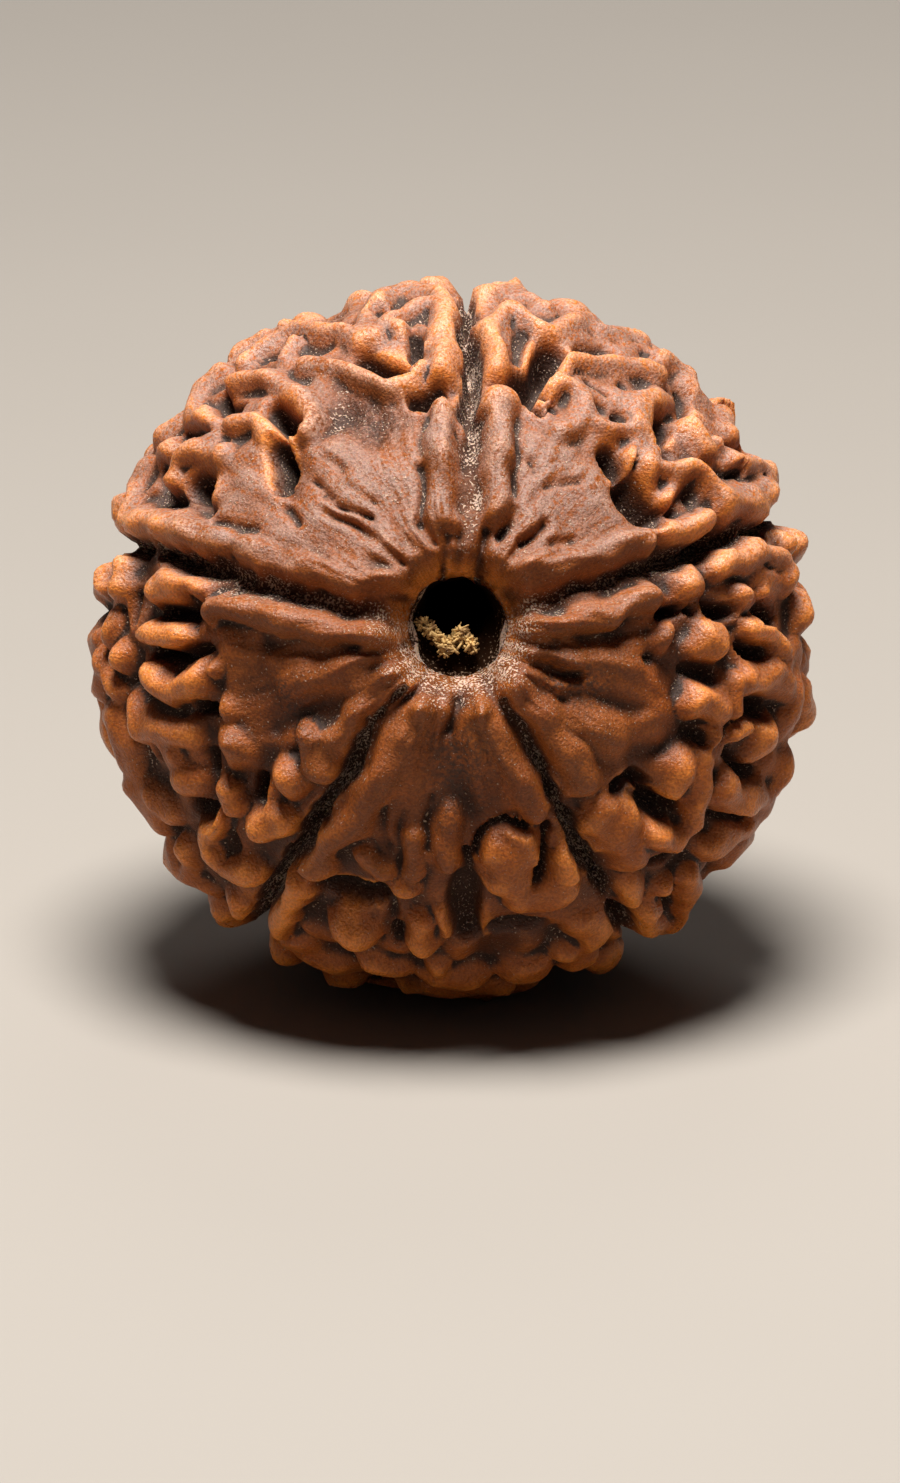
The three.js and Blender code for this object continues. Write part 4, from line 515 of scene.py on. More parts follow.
def growWorms(others, grooveLines, draw):
    # bent ridges and knobs that grow on the sides and back wherever there is room
    taken = np.concatenate([s["line"] for s in others])
    step = seed["wormStep"] / seed["crestRadius"]
    grown = []
    for _ in range(seed["wormTries"]):
        angles = (math.acos(lerp(*seed["wormBand"], draw())), 2 * math.pi * draw())
        heading = 2 * math.pi * draw()
        steps = math.floor(draw() * seed["wormSteps"])
        line = []
        for _ in range(steps + 1):
            q = np.array(onBody(*angles))
            clear = np.linalg.norm(taken - q, axis=1).min() > seed["wormGap"]
            clear = clear and all(np.linalg.norm(p - q) > seed["wormStep"] * 1.5 for p in line[:-1])
            if not clear or min(toLine(q[None], g["line"])[0][0] for g in grooveLines) <= seed["grooveGap"]:
                break
            line.append(q)
            heading += (draw() - .5) * seed["wormBend"]
            angles = (angles[0] + step * math.cos(heading),
                      angles[1] + step * math.sin(heading) / math.sin(angles[0]))
        if line:
            widths = seed["knobWidths"] if len(line) < 3 else seed["wormWidths"]
            grown.append(makeStroke(lerp(*widths, draw()), lerp(*seed["wormHeights"], draw()), line))
            taken = np.concatenate([taken, line])
    return grown


def growPits(others, draw):
    # deep pits where the ridges of the sides and back leave the most room
    taken = np.concatenate([s["line"] for s in others])
    holes = []
    for _ in range(seed["pitTries"]):
        polar, around = math.acos(lerp(*seed["pitBand"], draw())), 2 * math.pi * draw()
        q = np.array(onBody(polar, around))
        if np.linalg.norm(taken - q, axis=1).min() > seed["pitGap"]:
            halfWidth, level = (lerp(*seed[name], draw()) for name in ("pitWidths", "pitFloors"))
            length, heading = seed["pitLength"], 2 * math.pi * draw()
            end = onBody(polar + length * math.cos(heading),
                         around + length * math.sin(heading) / math.sin(polar))
            holes.append(makeStroke(halfWidth, level, [q, end]))
            taken = np.concatenate([taken, [q]])
    return holes


draw = makeDraws(seed["draws"])
grooveLines = growGrooves(draw)
frontRidges = [s for rows in ridges.values() for s in strokesOf(rows, seed["ridgeSpread"])]
lipStrokes = growLips(grooveLines, draw)
wormStrokes = growWorms(frontRidges + lipStrokes, grooveLines, draw)
allRidges = frontRidges + lipStrokes + wormStrokes
foldStrokes = strokesOf(folds, 1)
frontPits = [s for rows in pits.values() for s in strokesOf(rows, seed["pitSpread"])]
allPits = frontPits + growPits(allRidges, draw)
print("ridges", len(frontRidges), len(lipStrokes), len(wormStrokes), "pits", len(allPits))


def reachedBy(q, stroke, factor):
    # which points are near enough to a stroke to be shaped by it
    close = ((q - stroke["middle"]) ** 2).sum(1) < (stroke["reach"] + stroke["halfWidth"] * factor) ** 2
    return np.flatnonzero(close)


# the relief: a pair is the height and the size of soft lumps
surface = {
    "shake": (.09, 2.3),           # pushes every outline a little sideways
    "floor": .24,                  # height between the ridges
    "upperFloor": .2,              # more of it on the upper faces
    "swells": (.16, 2.1),
    "plateEdge": .9,               # width of a plate's soft edge
    "plateFall": .25,              # how far a plate sinks outward
    "plateSwells": (.09, 2.6),
    "plateBlend": .2,
    "backPlate": (.6, 5.4, 1.5),   # level, reach, width of its edge
    "ridgeWidths": (.16, 1.3),
    "ridgeTops": (.1, 1.6),
    "ridgeCurve": 2.4,             # a higher power gives steeper sides
    "knobCurve": 2,
    "pitTop": .75,                 # height at a pit's half width
    "pitBlend": .25,
    "grooveShake": (.07, 1.25),
    "grooveTop": .7,
    "grooveCurve": 2.6,
    "grooveBlend": .15,
    "fineLumps": (.015, .95),
    "grains": [(.022, .8), (.018, .45), (.008, .3)],
    "pleats": 22,                  # round the front mouth
    "pleatDepth": .15,
    "streaks": 61,
    "streakDepth": .025,
}


def lumps(q, pair, start):
    return pair[0] * ripple(q, pair[1], start)


def relief(points):
    # height over the valleys, and the masks that the material reads
    w = surface
    q = points + np.stack([lumps(points, w["shake"], s) for s in (1, 2, 3)], 1)
    x, z = q[:, 0] - seed["mouth"][0], q[:, 2] - seed["mouth"][1]
    reach, turn = np.hypot(x, z), np.arctan2(z, x)
    front = q[:, 1] < 0
    upper = smoothStep((z - 2) / 3) * smoothStep((1 - q[:, 1]) / 5)
    h = w["floor"] + w["upperFloor"] * upper + lumps(q, w["swells"], 5)

    plate = np.zeros(len(q))
    far, swells = smoothStep((reach - 2.5) / 3.5), lumps(q, w["plateSwells"], 7)
    for level, outline in plates.values():
        share = smoothStep(.5 + insideOutline(x, z, outline) / w["plateEdge"])
        top = (level - w["plateFall"] * far + swells) * share
        h = np.where(front, smoothMax(h, top, w["plateBlend"]), h)
        plate = np.where(front, np.maximum(plate, share), plate)
    level, backReach, edge = w["backPlate"]
    fromBack = np.hypot(q[:, 0] - seed["backMouth"][0], q[:, 2] - seed["backMouth"][1])
    share = smoothStep((backReach - fromBack) / edge)
    h = np.where(front, h, smoothMax(h, level * share, w["plateBlend"]))
    plate = np.where(front, plate, share)

    widths = 1 + lumps(q, w["ridgeWidths"], 11)
    for s in allRidges:
        i = reachedBy(q, s, 1.3)
        if len(i):
            d = toLine(q[i], s["line"])[0] / (s["halfWidth"] * widths[i])
            top = s["level"] + lumps(q[i], w["ridgeTops"], 4)
            curve = w["ridgeCurve"] if len(s["line"]) > 1 else w["knobCurve"]
            h[i] = smoothMax(h[i], top * (1 - d ** curve), seed["ridgeBlend"])
    foldShade = np.zeros(len(q))
    for s in foldStrokes:
        i = reachedBy(q, s, 2.5)
        if len(i):
            d = toLine(q[i], s["line"])[0]
            fold = np.exp(-.9 * (d / s["halfWidth"]) ** 2)
            h[i] += seed["foldDepth"] * s["level"] * fold
            if s["halfWidth"] > .5:      # the broad ones are darker: painted shade
                foldShade[i] = np.maximum(foldShade[i], fold)
    for s in allPits:
        i = reachedBy(q, s, 1.6)
        if len(i):
            d = toLine(q[i], s["line"])[0]
            wall = s["level"] + (w["pitTop"] - s["level"]) * (d / s["halfWidth"]) ** 2
            h[i] = smoothMin(h[i], wall, w["pitBlend"])
    groove = np.zeros(len(q))
    shake = lumps(q, w["grooveShake"], 17)
    for g in grooveLines:
        d, at = toLine(q, g["line"])
        d = np.abs(d + shake)
        marks = range(len(g["marks"]))
        halfWidth, floor = (np.interp(at, marks, [m[name] for m in g["marks"]])
                            for name in ("halfWidth", "floor"))
        wall = floor + (w["grooveTop"] - floor) * (d / halfWidth) ** w["grooveCurve"]
        h = np.where(d < 1.2, smoothMin(h, wall, w["grooveBlend"]), h)
        groove = np.maximum(groove, np.exp(-(d / halfWidth) ** 4))
    coarse, middle, fine = (height * grain(q, size, i + 1) for i, (height, size) in enumerate(w["grains"]))
    h += lumps(q, w["fineLumps"], 6) + coarse
    h += (.35 + .65 * plate) * (middle + fine)

    # pleats that run into the front mouth, and fainter ones on the plates
    sway = .5 * np.sin(3 * turn + 1) + .35 * np.sin(7 * turn) + .25 * ripple(q, 2.6, 9)
    pleat = np.sin(w["pleats"] * turn + 3 * sway) * (.6 + .4 * np.sin(5 * turn + 2))
    streak = np.sin(w["streaks"] * turn + 5 * sway) * ripple(q, 1.7, 10)
    near = front * smoothStep((reach - 1.4) / 1.1) * (1 - .8 * groove)
    faded = w["pleatDepth"] * smoothStep((3.9 - reach) / 2.4)
    h += near * (faded * pleat + w["streakDepth"] * streak * plate)
    crease = near * pleat * smoothStep((3.6 - reach) / 1.6)
    fan = np.stack([x / reach, z / reach, .03 * reach], 1)      # a pattern on it runs toward the mouth
    return h, plate, groove, crease, foldShade, fan


def meltRestSpot(h, points):
    # the ridges round the lowest point are worn level
    tilt = math.radians(seed["canalTilt"])
    down = np.array((0, math.sin(tilt), -math.cos(tilt)))
    stretched = np.array((1, seed["lengthRatio"] ** 2, 1)) * down
    lowest = seed["crestRadius"] * stretched / np.linalg.norm(down * (1, seed["lengthRatio"], 1))
    worn = smoothStep((seed["restSpot"] - np.linalg.norm(points - lowest, axis=1)) / .9)
    return lerp(h, seed["valleyDepth"], worn)


def startSeed():
    # a sphere with its poles on the canal, opened at both ends and bridged through
    bpy.ops.mesh.primitive_uv_sphere_add(segments=seed["around"], ring_count=seed["rings"], radius=1,
                                         rotation=(math.pi / 2, 0, 0))
    piece = bpy.context.object
    piece.name = piece.data.name = "seedStone"
    bpy.ops.object.transform_apply(location=True, rotation=True, scale=True)
    start = math.ceil(math.asin(seed["mouthRadius"] / seed["crestRadius"]) / (math.pi / seed["rings"]))
    polar = start * math.pi / seed["rings"]
    bpy.ops.object.mode_set(mode="EDIT")
    bpy.ops.mesh.select_mode(type="VERT")
    bpy.ops.mesh.select_all(action="DESELECT")
    mesh = bmesh.from_edit_mesh(piece.data)
    for v in mesh.verts:
        v.select = abs(v.co.y) > math.cos(polar - .5 * math.pi / seed["rings"])
    bmesh.update_edit_mesh(piece.data)
    bpy.ops.mesh.delete(type="VERT")
    bpy.ops.mesh.select_mode(type="EDGE")
    bpy.ops.mesh.select_non_manifold()
    bpy.ops.mesh.bridge_edge_loops(number_cuts=seed["canalCuts"])
    bpy.ops.mesh.select_all(action="SELECT")
    bpy.ops.mesh.normals_make_consistent(inside=False)
    bpy.ops.mesh.select_all(action="DESELECT")
    bpy.ops.object.mode_set(mode="OBJECT")
    return piece, polar


def spotDepth(x, y):
    # how far a point lies inside the flat spot's outline, a star of four blunt points
    turn, reach, waist = seed["spotTurn"], seed["spotReach"], seed["spotWaist"] * math.sqrt(.5)
    u = np.abs(x * math.cos(turn) + y * math.sin(turn))
    v = np.abs(y * math.cos(turn) - x * math.sin(turn))
    inside = (waist - reach) * np.minimum(u, v) + waist * (reach - np.maximum(u, v))
    return inside / math.hypot(waist - reach, waist)


def seatPoints(p):
    # tips the seed, sets it on the floor and gives metres
    a = -math.radians(seed["canalTilt"])
    turned = np.stack([p[:, 0], p[:, 1] * math.cos(a) - p[:, 2] * math.sin(a),
                       p[:, 1] * math.sin(a) + p[:, 2] * math.cos(a)], 1)
    turned += (seed["shift"][0], seed["shift"][1], seed["seatHeight"])
    low = turned[:, 2] < seed["seatHeight"] / 2
    depth = spotDepth(turned[:, 0] - seed["shift"][0], turned[:, 1] - seed["shift"][1])
    lifted = np.where(depth < 0, np.maximum(turned[:, 2], seed["spotGap"] - .25 * depth), 0)
    turned[:, 2] = np.where(low, lifted, turned[:, 2])
    return turned * mm


def blurOverMesh(mesh, values, rounds):
    # averages each point's value with its neighbours'
    edges = np.empty(len(mesh.edges) * 2, int)
    mesh.edges.foreach_get("vertices", edges)
    a, b = edges[::2], edges[1::2]
    count = np.bincount(a, minlength=len(values)) + np.bincount(b, minlength=len(values))
    for _ in range(rounds):
        total = np.bincount(a, values[b], len(values)) + np.bincount(b, values[a], len(values))
        values = .5 * values + .5 * total / count
    return values


def readPoints(mesh):
    p = np.empty(len(mesh.vertices) * 3)
    mesh.vertices.foreach_get("co", p)
    return p.reshape(-1, 3)


def addValues(mesh, name, values):
    layer = mesh.attributes.new(name, "FLOAT", "POINT")
    layer.data.foreach_set("value", values.astype(np.float32))


def makeSeed(wood, wall):
    piece, firstPolar = startSeed()
    mesh = piece.data
    p = readPoints(mesh)
    canalEnd, close = math.cos(firstPolar), 1e-4
    across, around = np.hypot(p[:, 0], p[:, 2]), np.arctan2(p[:, 2], p[:, 0])
    inCanal = (np.abs(across - math.sin(firstPolar)) < close) & (np.abs(p[:, 1]) < canalEnd - close)

    # the sphere's points go onto the smooth body, then up or down by the relief
    start = math.asin(seed["mouthRadius"] / seed["crestRadius"])
    share = (np.arccos(np.clip(-p[:, 1], -1, 1)) - firstPolar) / (math.pi - 2 * firstPolar)
    share = share - .3 * np.sin(math.pi * share) / math.pi      # finer toward the front
    polar = lerp(start, math.pi - start, np.clip(share, 0, 1))
    reach, radius = np.sin(polar), seed["crestRadius"]
    centre = np.where((polar < math.pi / 2)[:, None], seed["mouth"], seed["backMouth"])
    q = np.zeros_like(p)
    q[:, 0] = centre[:, 0] * (1 - reach) + radius * reach * np.cos(around)
    q[:, 2] = centre[:, 1] * (1 - reach) + radius * reach * np.sin(around)
    q[:, 1] = seed["lengthRatio"] * np.sqrt(np.maximum(radius ** 2 - q[:, 0] ** 2 - q[:, 2] ** 2, 0))
    q[:, 1] *= np.where(polar < math.pi / 2, -1, 1)
    h, plate, groove, crease, foldShade, fan = relief(q)
    h = meltRestSpot(h, q)
    fromMouth = radius * reach
    dip = seed["funnelDepth"] * np.clip(
        (seed["funnelRadius"] - fromMouth) / (seed["funnelRadius"] - seed["mouthRadius"]), 0, 1) ** 1.6
    size = np.linalg.norm(q, axis=1)
    out = q * ((size - seed["valleyDepth"] + h - dip) / size)[:, None]

    # the bridged wall takes the canal's own cross-sections
    entry = out[(~inCanal) & (p[:, 1] < -canalEnd + close), 1].mean()
    leave = out[(~inCanal) & (p[:, 1] > canalEnd - close), 1].mean()
    along = (p[inCanal, 1] + canalEnd) / (2 * canalEnd)
    depth = (leave - entry) * along ** 1.8
    x, z, halfWidth, halfHeight = (np.interp(depth, [c[0] for c in canal], [c[i] for c in canal])
                                   for i in range(1, 5))
    s, a = depth / canal[-1][0], around[inCanal]
    rough = 1 + .03 * np.sin(5 * a + depth) + .03 * np.sin(9 * a - 2.3 * depth)
    out[inCanal, 0] = lerp(seed["mouth"][0], seed["backMouth"][0], s) + x + halfWidth * rough * np.cos(a)
    out[inCanal, 1] = entry + depth
    out[inCanal, 2] = lerp(seed["mouth"][1], seed["backMouth"][1], s) + z + halfHeight * rough * np.sin(a)
    h[inCanal] = -1
    mesh.vertices.foreach_set("co", seatPoints(out).ravel())
    mesh.update()

    # what the material reads at each point: hollow, edge and the broad folds' mask steer painted shade and
    # the crests' painted highlight; upward and sky, how far a point faces up and how high it stands, steer
    # the painted sheen
    h = h - .25 * dip
    normals = np.empty(len(p) * 3)
    mesh.vertex_normals.foreach_get("vector", normals)
    addValues(mesh, "upward", smoothStep(1.8 * blurOverMesh(mesh, normals[2::3], 3) - .12))
    addValues(mesh, "sky", smoothStep((out[:, 2] + 1.5) / 5))
    addValues(mesh, "height", h)
    addValues(mesh, "hollow", h - blurOverMesh(mesh, h, 40) + .12 * crease * (1 - inCanal))
    addValues(mesh, "edge", h - blurOverMesh(mesh, h, 8))
    addValues(mesh, "plate", plate * (1 - inCanal))
    addValues(mesh, "foldShade", foldShade * (1 - inCanal))
    addValues(mesh, "groove", np.maximum(groove, inCanal))
    rim = smoothStep((2.7 - fromMouth) / 1.1) * (p[:, 1] < 0)
    rim[inCanal] = smoothStep((.7 - depth) / .4)
    below = smoothStep((.9 - (out[:, 2] - seed["mouth"][1])) / 1.2)
    addValues(mesh, "mouth", rim * (.25 + .75 * below))
    layer = mesh.attributes.new("fan", "FLOAT_VECTOR", "POINT")
    layer.data.foreach_set("vector", fan.astype(np.float32).ravel())

    mesh.materials.append(wood)
    mesh.materials.append(wall)
    corners = np.empty(len(mesh.polygons) * 4, int)
    mesh.polygons.foreach_get("vertices", corners)
    mesh.polygons.foreach_set("material_index", inCanal[corners].reshape(-1, 4).all(1).astype(int))
    bpy.ops.object.shade_smooth()
    print("seed", len(mesh.vertices), "points", len(mesh.polygons) * 2, "triangles")
    return piece


# materials: short calls that add nodes to the tree of the sockets that they are given
def setInputs(node, inputs):
    for name, value in inputs.items():
        node.inputs[name].default_value = value


def addNode(tree, kind, inputs=None, **settings):
    node = tree.nodes.new(kind)
    for name, value in settings.items():
        setattr(node, name, value)
    setInputs(node, inputs or {})
    return node


def feed(socket, value):
    # a number or a colour is set on the socket, anything else is linked to it
    if isinstance(value, (int, float)):
        socket.default_value = value
    elif isinstance(value, tuple):
        socket.default_value = (*value, 1)
    else:
        socket.id_data.links.new(value, socket)


def treeOf(*values):
    return next(v.id_data for v in values if not isinstance(v, (int, float, tuple)))


def mathNode(kind, a, b, clamp=False):
    node = addNode(treeOf(a, b), "ShaderNodeMath", operation=kind, use_clamp=clamp)
    feed(node.inputs[0], a)
    feed(node.inputs[1], b)
    return node.outputs[0]


def plus(a, b, clamp=False):
    return mathNode("ADD", a, b, clamp)


def minus(a, b):
    return mathNode("SUBTRACT", a, b)


def times(a, b, clamp=False):
    return mathNode("MULTIPLY", a, b, clamp)


def mixColour(share, a, b, blend="MIX"):
    node = addNode(treeOf(share, a, b), "ShaderNodeMix", data_type="RGBA", blend_type=blend,
                   clamp_factor=True)
    for i, value in ((0, share), (6, a), (7, b)):
        feed(node.inputs[i], value)
    return node.outputs[2]


def ramp(value, low, high):
    node = addNode(treeOf(value), "ShaderNodeMapRange", interpolation_type="SMOOTHSTEP", clamp=True)
    for i, v in enumerate((value, low, high)):
        feed(node.inputs[i], v)
    return node.outputs[0]


def noise(place, scale, detail, roughness, distortion=0):
    node = addNode(treeOf(place), "ShaderNodeTexNoise", {
        "Scale": scale, "Detail": detail, "Roughness": roughness, "Distortion": distortion})
    feed(node.inputs["Vector"], place)
    return node.outputs["Fac"]


def attribute(place, name, output="Fac"):
    return addNode(treeOf(place), "ShaderNodeAttribute", attribute_name=name).outputs[output]


def addBump(shader, height, strength, distance):
    bump = addNode(treeOf(height), "ShaderNodeBump", {"Strength": strength, "Distance": distance})
    feed(bump.inputs["Height"], height)
    feed(shader.inputs["Normal"], bump.outputs[0])


def startMaterial(name):
    material = bpy.data.materials.new(name)
    material.use_nodes = True
    place = addNode(material.node_tree, "ShaderNodeTexCoord").outputs["Object"]
    return material, material.node_tree.nodes["Principled BSDF"], place


def makeDustGroup():
    # pale grains that gather where the mask is high
    group = bpy.data.node_groups.new("creaseDust", "ShaderNodeTree")
    for name, side, kind in (("Place", "INPUT", "Vector"), ("Gather", "INPUT", "Float"),
                             ("Amount", "INPUT", "Float"), ("Mask", "OUTPUT", "Float")):
        group.interface.new_socket(name, in_out=side, socket_type="NodeSocket" + kind)
    start, end = addNode(group, "NodeGroupInput"), addNode(group, "NodeGroupOutput")
    fine = noise(start.outputs["Place"], 15000, 1, .5)
    patch = noise(start.outputs["Place"], 1500, 4, .6)
    amount = times(start.outputs["Gather"], start.outputs["Amount"])
    edge = minus(.7, times(amount, plus(patch, -.15)))
    feed(end.inputs["Mask"], times(minus(fine, edge), 10, clamp=True))
    return group


def dustOver(dust, place, gather, amount):
    node = addNode(treeOf(place), "ShaderNodeGroup", {"Amount": amount}, node_tree=dust)
    feed(node.inputs["Place"], place)
    feed(node.inputs["Gather"], gather)
    return node.outputs["Mask"]


stoneLook = {
    # pit also serves as painted shade in hollows and creases, crest partly as a painted highlight
    "pit": (.04, .014, .006),          # linear colours
    "low": (.08, .02, .004),
    "ridge": (.365, .095, .013),
    "crest": (.70, .225, .038),
    "plate": (.245, .066, .01),
    "paintedSheen": (.315, .195, .152),        # painted sheen on what faces up, standing in for the top lamp's reflection
    "palePaintedSheen": (.70, .42, .29),
    "dust": (.54, .38, .285),
    "grit": (.06, .025, .013),
    # grey painted shade for the hollows that face up
    "greyShade": (.1, .072, .06),
    "blotch": (.6, .44, .36),          # this and the next multiply what is under them
    "pore": (.3, .24, .22),
    "mottleScale": 420,                # noise cells a metre
    "speckleScale": 3000,
    "gritScale": 8500,
    "poreScale": 13000,
    "streakScale": 22,                 # on the fan round the mouth
    "dustAmount": .62,
    "roughness": .52,
    "bump": (.9, .00006),              # strength, metres
    "shader": {"Specular IOR Level": .26, "Subsurface Weight": .16,
               "Subsurface Radius": (1, .32, .1), "Subsurface Scale": .0008},
}


def makeStoneMaterial(dust):
    material, shader, place = startMaterial("seedWood")
    look = stoneLook
    height, hollow, edge, plate, foldShade, groove, mouth, upward, sky = (attribute(place, name) for name in (
        "height", "hollow", "edge", "plate", "foldShade", "groove", "mouth", "upward", "sky"))
    mottle = noise(place, look["mottleScale"], 4, .6, .4)
    speckle = noise(place, look["speckleScale"], 3, .6)
    pores = noise(place, look["poreScale"], 2, .55)
    grit = noise(place, look["gritScale"], 2, .6)
    streak = noise(attribute(place, "fan", "Vector"), look["streakScale"], 3, .6)

    def shifted(mask, source, amount):
        # a mask whose edge wanders with a noise
        return plus(mask, times(plus(source, -.5), amount))

    # bare wood from the pits to the crests: darker in the low parts as painted shade, lighter and more
    # orange on the crests, partly the wood's colour and partly a painted highlight
    lifted = shifted(height, mottle, .5)
    colour = mixColour(ramp(lifted, -.35, .3), look["pit"], look["low"])
    colour = mixColour(ramp(lifted, .1, .6), colour, look["ridge"])
    colour = mixColour(ramp(shifted(hollow, speckle, .3), .05, .38), colour, look["crest"])
    colour = mixColour(times(plate, ramp(shifted(height, speckle, .4), .35, .7)), colour, look["plate"])

    # painted sheen standing in for the top lamp's reflection on what faces up: less near the mouth, on low
    # plates, in hollows and on the seed's lower half, broken by grit
    paintedSheenShare = times(times(upward, minus(1, times(mouth, .5))), ramp(shifted(hollow, speckle, .24), -.3, .08))
    paintedSheenShare = times(paintedSheenShare, minus(1, times(times(plate, minus(1, sky)), .75)))
    paintedSheenShare = times(paintedSheenShare, plus(.5, times(ramp(lifted, .2, .65), .5)))
    paintedSheenShare = times(paintedSheenShare, plus(.32, times(sky, .68)))
    streaky = times(plus(streak, -.5), plus(plate, .1))
    paintedSheenShare = times(paintedSheenShare, ramp(plus(grit, times(streaky, .9)), .29, .58))
    paintedSheenShare = times(paintedSheenShare, plus(.9, times(ramp(hollow, .04, .3), -.28)))
    paintedSheen = mixColour(ramp(shifted(hollow, mottle, .5), .04, .32), look["paintedSheen"], look["palePaintedSheen"])
    colour = mixColour(paintedSheenShare, colour, paintedSheen)

    # what darkens it: painted shade in hollows, in the creases at the edges of pits, in hollows that face
    # up (grey) and in the broad sunken folds; then blotches, grooves, the lower rim of the mouth and pores
    colour = mixColour(ramp(shifted(hollow, speckle, .12), -.02, -.24), colour, look["pit"])
    colour = mixColour(ramp(shifted(edge, pores, .03), -.025, -.1), colour, look["pit"])
    # hollows that face up are greyed: painted shade
    greyShadeShare = times(upward, ramp(shifted(hollow, grit, .2), -.03, -.2))
    colour = mixColour(times(greyShadeShare, .5), colour, look["greyShade"])
    # the broad sunken folds take the grit colour: painted shade
    colour = mixColour(times(times(foldShade, ramp(grit, .62, .38)), .85), colour, look["grit"])
    colour = mixColour(times(ramp(mottle, .35, .7), .4), colour, look["blotch"], "MULTIPLY")
    colour = mixColour(times(groove, .55), colour, look["grit"])
    colour = mixColour(times(times(mouth, upward), .8), colour, look["low"])
    colour = mixColour(times(ramp(pores, .62, .36), .45), colour, look["pore"], "MULTIPLY")

    # pale dust in the grooves and hollows and round the mouth
    gather = plus(times(times(plus(plate, .3), upward), .18), times(groove, plus(.54, times(upward, .12))))
    gather = plus(gather, times(mouth, .9))
    gather = plus(gather, times(ramp(hollow, .02, -.2), .34))
    grains = dustOver(dust, place, gather, look["dustAmount"])
    colour = mixColour(times(grains, .8), colour, look["dust"])

    rough = plus(look["roughness"], times(groove, .45))
    for mask, share in ((ramp(hollow, -.1, .3), -.22), (ramp(hollow, -.05, -.3), .35), (grains, .3),
                        (plate, .06)):
        rough = plus(rough, times(mask, share))
    rough = plus(rough, times(plus(speckle, -.5), .3), clamp=True)
    relieved = plus(times(pores, .8), times(speckle, .6))
    relieved = plus(plus(relieved, times(grains, .5)), times(streaky, .7))
    addBump(shader, relieved, *look["bump"])
    feed(shader.inputs["Base Color"], colour)
    feed(shader.inputs["Roughness"], rough)
    setInputs(shader, look["shader"])
    return material


# the canal wall is almost black: painted shade of the deep canal, with pale crumbs near its mouth
canalLook = {
    "canalShade": (.004, .0015, .0005),      # linear colours
    "brown": (.03, .011, .004),
    "dust": (.4, .27, .18),
    "dustAmount": .55,
    "shader": {"Roughness": .95, "Specular IOR Level": .05},
}


def makeCanalMaterial(dust):
    material, shader, place = startMaterial("canalWall")
    look = canalLook
    colour = mixColour(noise(place, 2500, 3, .6), look["canalShade"], look["brown"])
    crumbs = dustOver(dust, place, attribute(place, "mouth"), look["dustAmount"])
    feed(shader.inputs["Base Color"], mixColour(times(crumbs, .7), colour, look["dust"]))
    setInputs(shader, look["shader"])
    return material


# fibre: golden strands left in the front of the canal, over the tuft's solid
fibre = {
    "strands": 420,
    "radii": (.018, .045),         # mm
    "lengths": (.12, .34),
    "depth": (.15, .75),           # mm into the canal
    "leans": (35, 90),             # degrees from upright
    "bend": .5,
    # middle of the tuft: x, z from the mouth, half height
    "band": [(-1.08, -.02, .1), (-.85, -.1, .2), (-.62, -.36, .26), (-.42, -.62, .3), (-.2, -.62, .26),
             (-.02, -.36, .32), (.1, -.26, .34), (.25, -.47, .3), (.42, -.66, .18)],
    "draws": 5,
    "brown": (.17, .075, .016),    # linear colours
    "gold": (.66, .42, .15),
    "bump": (.4, .00003),          # strength, metres
}


def makeFibre(material):
    draw = makeDraws(fibre["draws"])
    bpy.ops.mesh.primitive_cylinder_add(vertices=6, radius=1, depth=1)
    strand = bpy.context.object
    bpy.ops.object.mode_set(mode="EDIT")
    bpy.ops.mesh.select_all(action="DESELECT")
    mesh = bmesh.from_edit_mesh(strand.data)
    for e in mesh.edges:
        e.select = abs(e.verts[0].co.z - e.verts[1].co.z) > .5
    bmesh.update_edit_mesh(strand.data)
    bpy.ops.mesh.subdivide(number_cuts=3)
    bpy.ops.object.mode_set(mode="OBJECT")
    shape = readPoints(strand.data)
    band = fibre["band"]
    entry = -seed["lengthRatio"] * seed["crestRadius"] + seed["valleyDepth"] * .5 + seed["funnelDepth"]
    copies = []
    for _ in range(fibre["strands"]):
        x = lerp(band[0][0], band[-1][0], draw())
        middle, half = (np.interp(x, [c[0] for c in band], [c[i] for c in band]) for i in (1, 2))
        z = middle + half * (draw() + draw() - 1)
        length = lerp(*fibre["lengths"], draw())
        radius = lerp(*fibre["radii"], draw())
        bend = (draw() - .5) * fibre["bend"]
        lean, turn = math.radians(lerp(*fibre["leans"], draw())), 2 * math.pi * draw()
        local = np.stack([shape[:, 0] * radius + bend * (shape[:, 2] ** 2) * length,
                          shape[:, 1] * radius, shape[:, 2] * length], 1)
        along = Vector((math.sin(lean) * math.cos(turn), .4 * math.sin(lean) * math.sin(turn),
                        math.cos(lean))).normalized()
        turned = local @ np.array(along.to_track_quat("Z", "X").to_matrix()).T
        turned += (x + seed["mouth"][0], entry + lerp(*fibre["depth"], draw()), z + seed["mouth"][1])
        copy = strand.copy()
        copy.data = strand.data.copy()
        copy.data.vertices.foreach_set("co", seatPoints(turned).ravel())
        bpy.context.collection.objects.link(copy)
        copies.append(copy)
    bpy.data.objects.remove(strand)
    bpy.ops.object.select_all(action="DESELECT")
    for c in copies:
        c.select_set(True)
    bpy.context.view_layer.objects.active = copies[0]
    bpy.ops.object.join()
    piece = bpy.context.object
    piece.name = piece.data.name = "canalFibre"
    bpy.ops.object.shade_smooth()
    piece.data.materials.append(material)
    print("fibre", len(piece.data.polygons), "faces")
    return piece


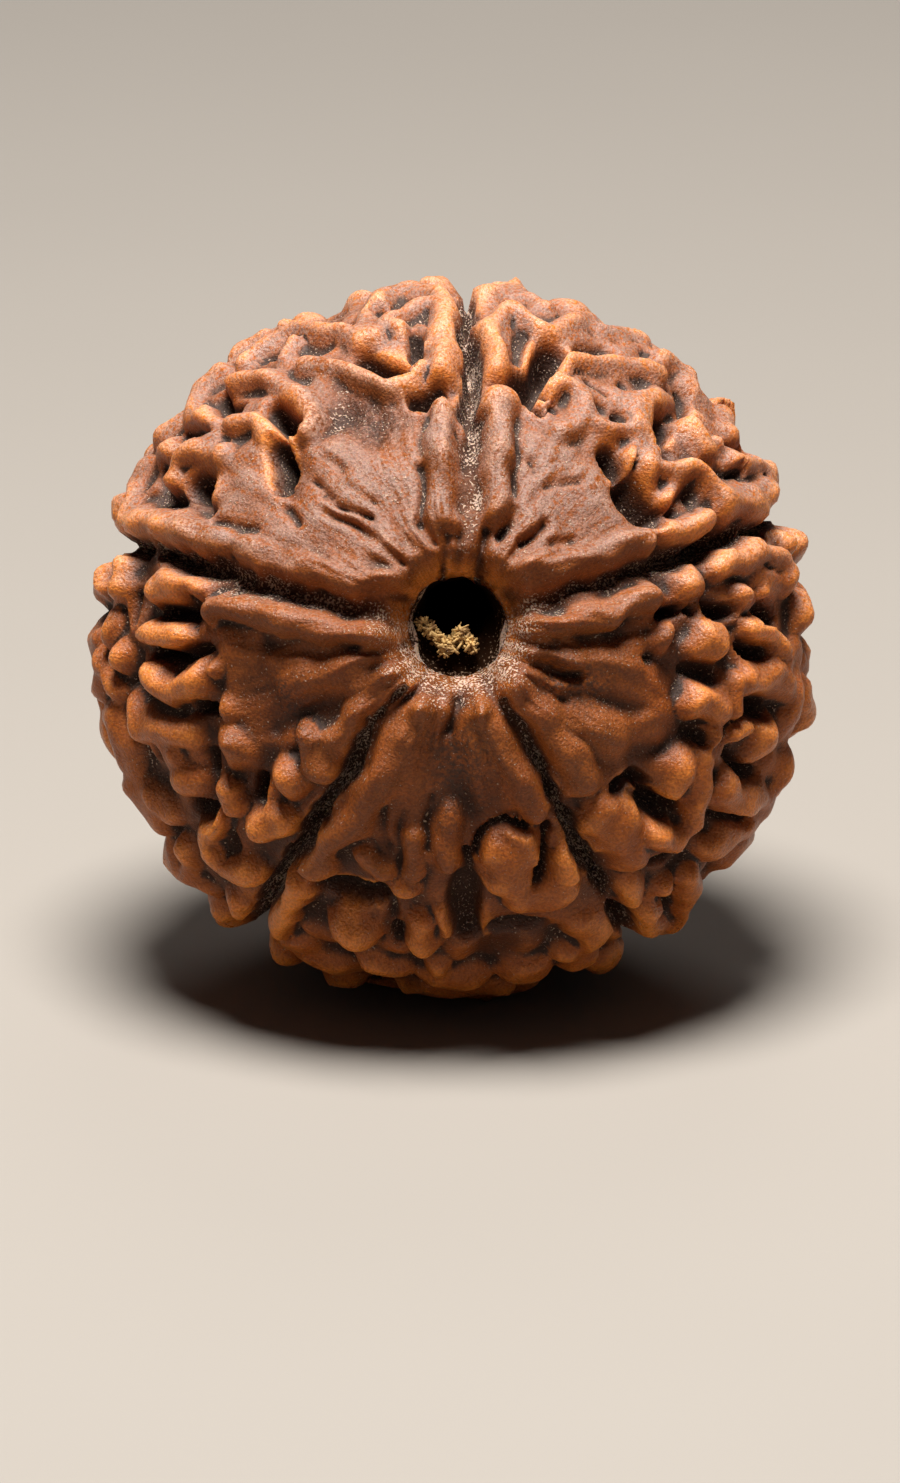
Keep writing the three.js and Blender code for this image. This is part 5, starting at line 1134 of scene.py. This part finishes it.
def makeFibreMaterial():
    material, shader, place = startMaterial("driedFibre")
    blotch = noise(place, 2400, 3, .6)
    fine = noise(place, 9000, 2, .6)
    colour = mixColour(ramp(blotch, .35, .6), fibre["brown"], fibre["gold"])
    feed(shader.inputs["Base Color"], colour)
    feed(shader.inputs["Roughness"], plus(.55, times(fine, .25)))
    addBump(shader, fine, *fibre["bump"])
    return material


dust = makeDustGroup()
stone = makeSeed(makeStoneMaterial(dust), makeCanalMaterial(dust))
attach(stone, "root")
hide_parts("seed")
bpy.ops.object.select_all(action="DESELECT")

tuft = makeFibre(makeFibreMaterial())
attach(tuft, "root")
bpy.ops.object.select_all(action="DESELECT")

# floor, light and camera
studio = {
    "floor": .8,                # metres across
    "floorColour": (.29, .265, .235),
    "cameraDistance": .26,
    "elevation": 19,
    "lens": 232.8,
    "sensor": 36,
    "aimRight": -.08,           # mm from the seed's middle, across the picture
    "aimUp": -2.75,
    "lamps": {                  # place, size, power
        "topLight": ((-.005, -.033, .212), .1, 1.18),
        "backLight": ((.02, .16, .16), .1, .06),
    },
    "lampColour": (1, .97, .94),
    "lampAim": (0, 0, .0095),
    "world": (.8, .78, .75),
    "worldStrength": .05,
}


def makeFloor():
    bpy.ops.mesh.primitive_plane_add(size=studio["floor"], location=(0, 0, 0))
    floor = bpy.context.object
    floor.name = "studioFloor"
    material, shader, place = startMaterial("paperFloor")
    r, g, b = studio["floorColour"]
    colour = mixColour(noise(place, 60, 2, .5), (r * .97, g * .97, b * .97), (r, g, b))
    feed(shader.inputs["Base Color"], colour)
    shader.inputs["Roughness"].default_value = .8
    floor.data.materials.append(material)


def addLight(name, place, size, power):
    light = bpy.data.lights.new(name, "AREA")
    light.shape, light.size, light.energy, light.color = "DISK", size, power, studio["lampColour"]
    lamp = bpy.data.objects.new(name, light)
    bpy.context.collection.objects.link(lamp)
    lamp.location = place
    lamp.rotation_euler = (Vector(studio["lampAim"]) - Vector(place)).to_track_quat("-Z", "Y").to_euler()


def addCamera():
    camera = bpy.data.objects.new("photoCamera", bpy.data.cameras.new("photoCamera"))
    bpy.context.collection.objects.link(camera)
    camera.data.lens, camera.data.sensor_width = studio["lens"], studio["sensor"]
    camera.data.clip_start, camera.data.clip_end = .01, 10
    e = math.radians(studio["elevation"])
    look, up = Vector((0, math.cos(e), -math.sin(e))), Vector((0, math.sin(e), math.cos(e)))
    middle = Vector((seed["shift"][0] * mm, seed["shift"][1] * mm, seed["seatHeight"] * mm))
    aim = middle + Vector((studio["aimRight"] * mm, 0, 0)) + up * studio["aimUp"] * mm
    camera.location = aim - look * studio["cameraDistance"]
    camera.rotation_euler = look.to_track_quat("-Z", "Y").to_euler()
    bpy.context.scene.camera = camera


makeFloor()
for name, lamp in studio["lamps"].items():
    addLight(name, *lamp)
world = bpy.data.worlds.new("studioAir")
world.use_nodes = True
background = world.node_tree.nodes["Background"]
background.inputs["Color"].default_value = (*studio["world"], 1)
background.inputs["Strength"].default_value = studio["worldStrength"]
bpy.context.scene.world = world
bpy.context.scene.view_settings.view_transform = "Standard"
addCamera()
print("studio ready")
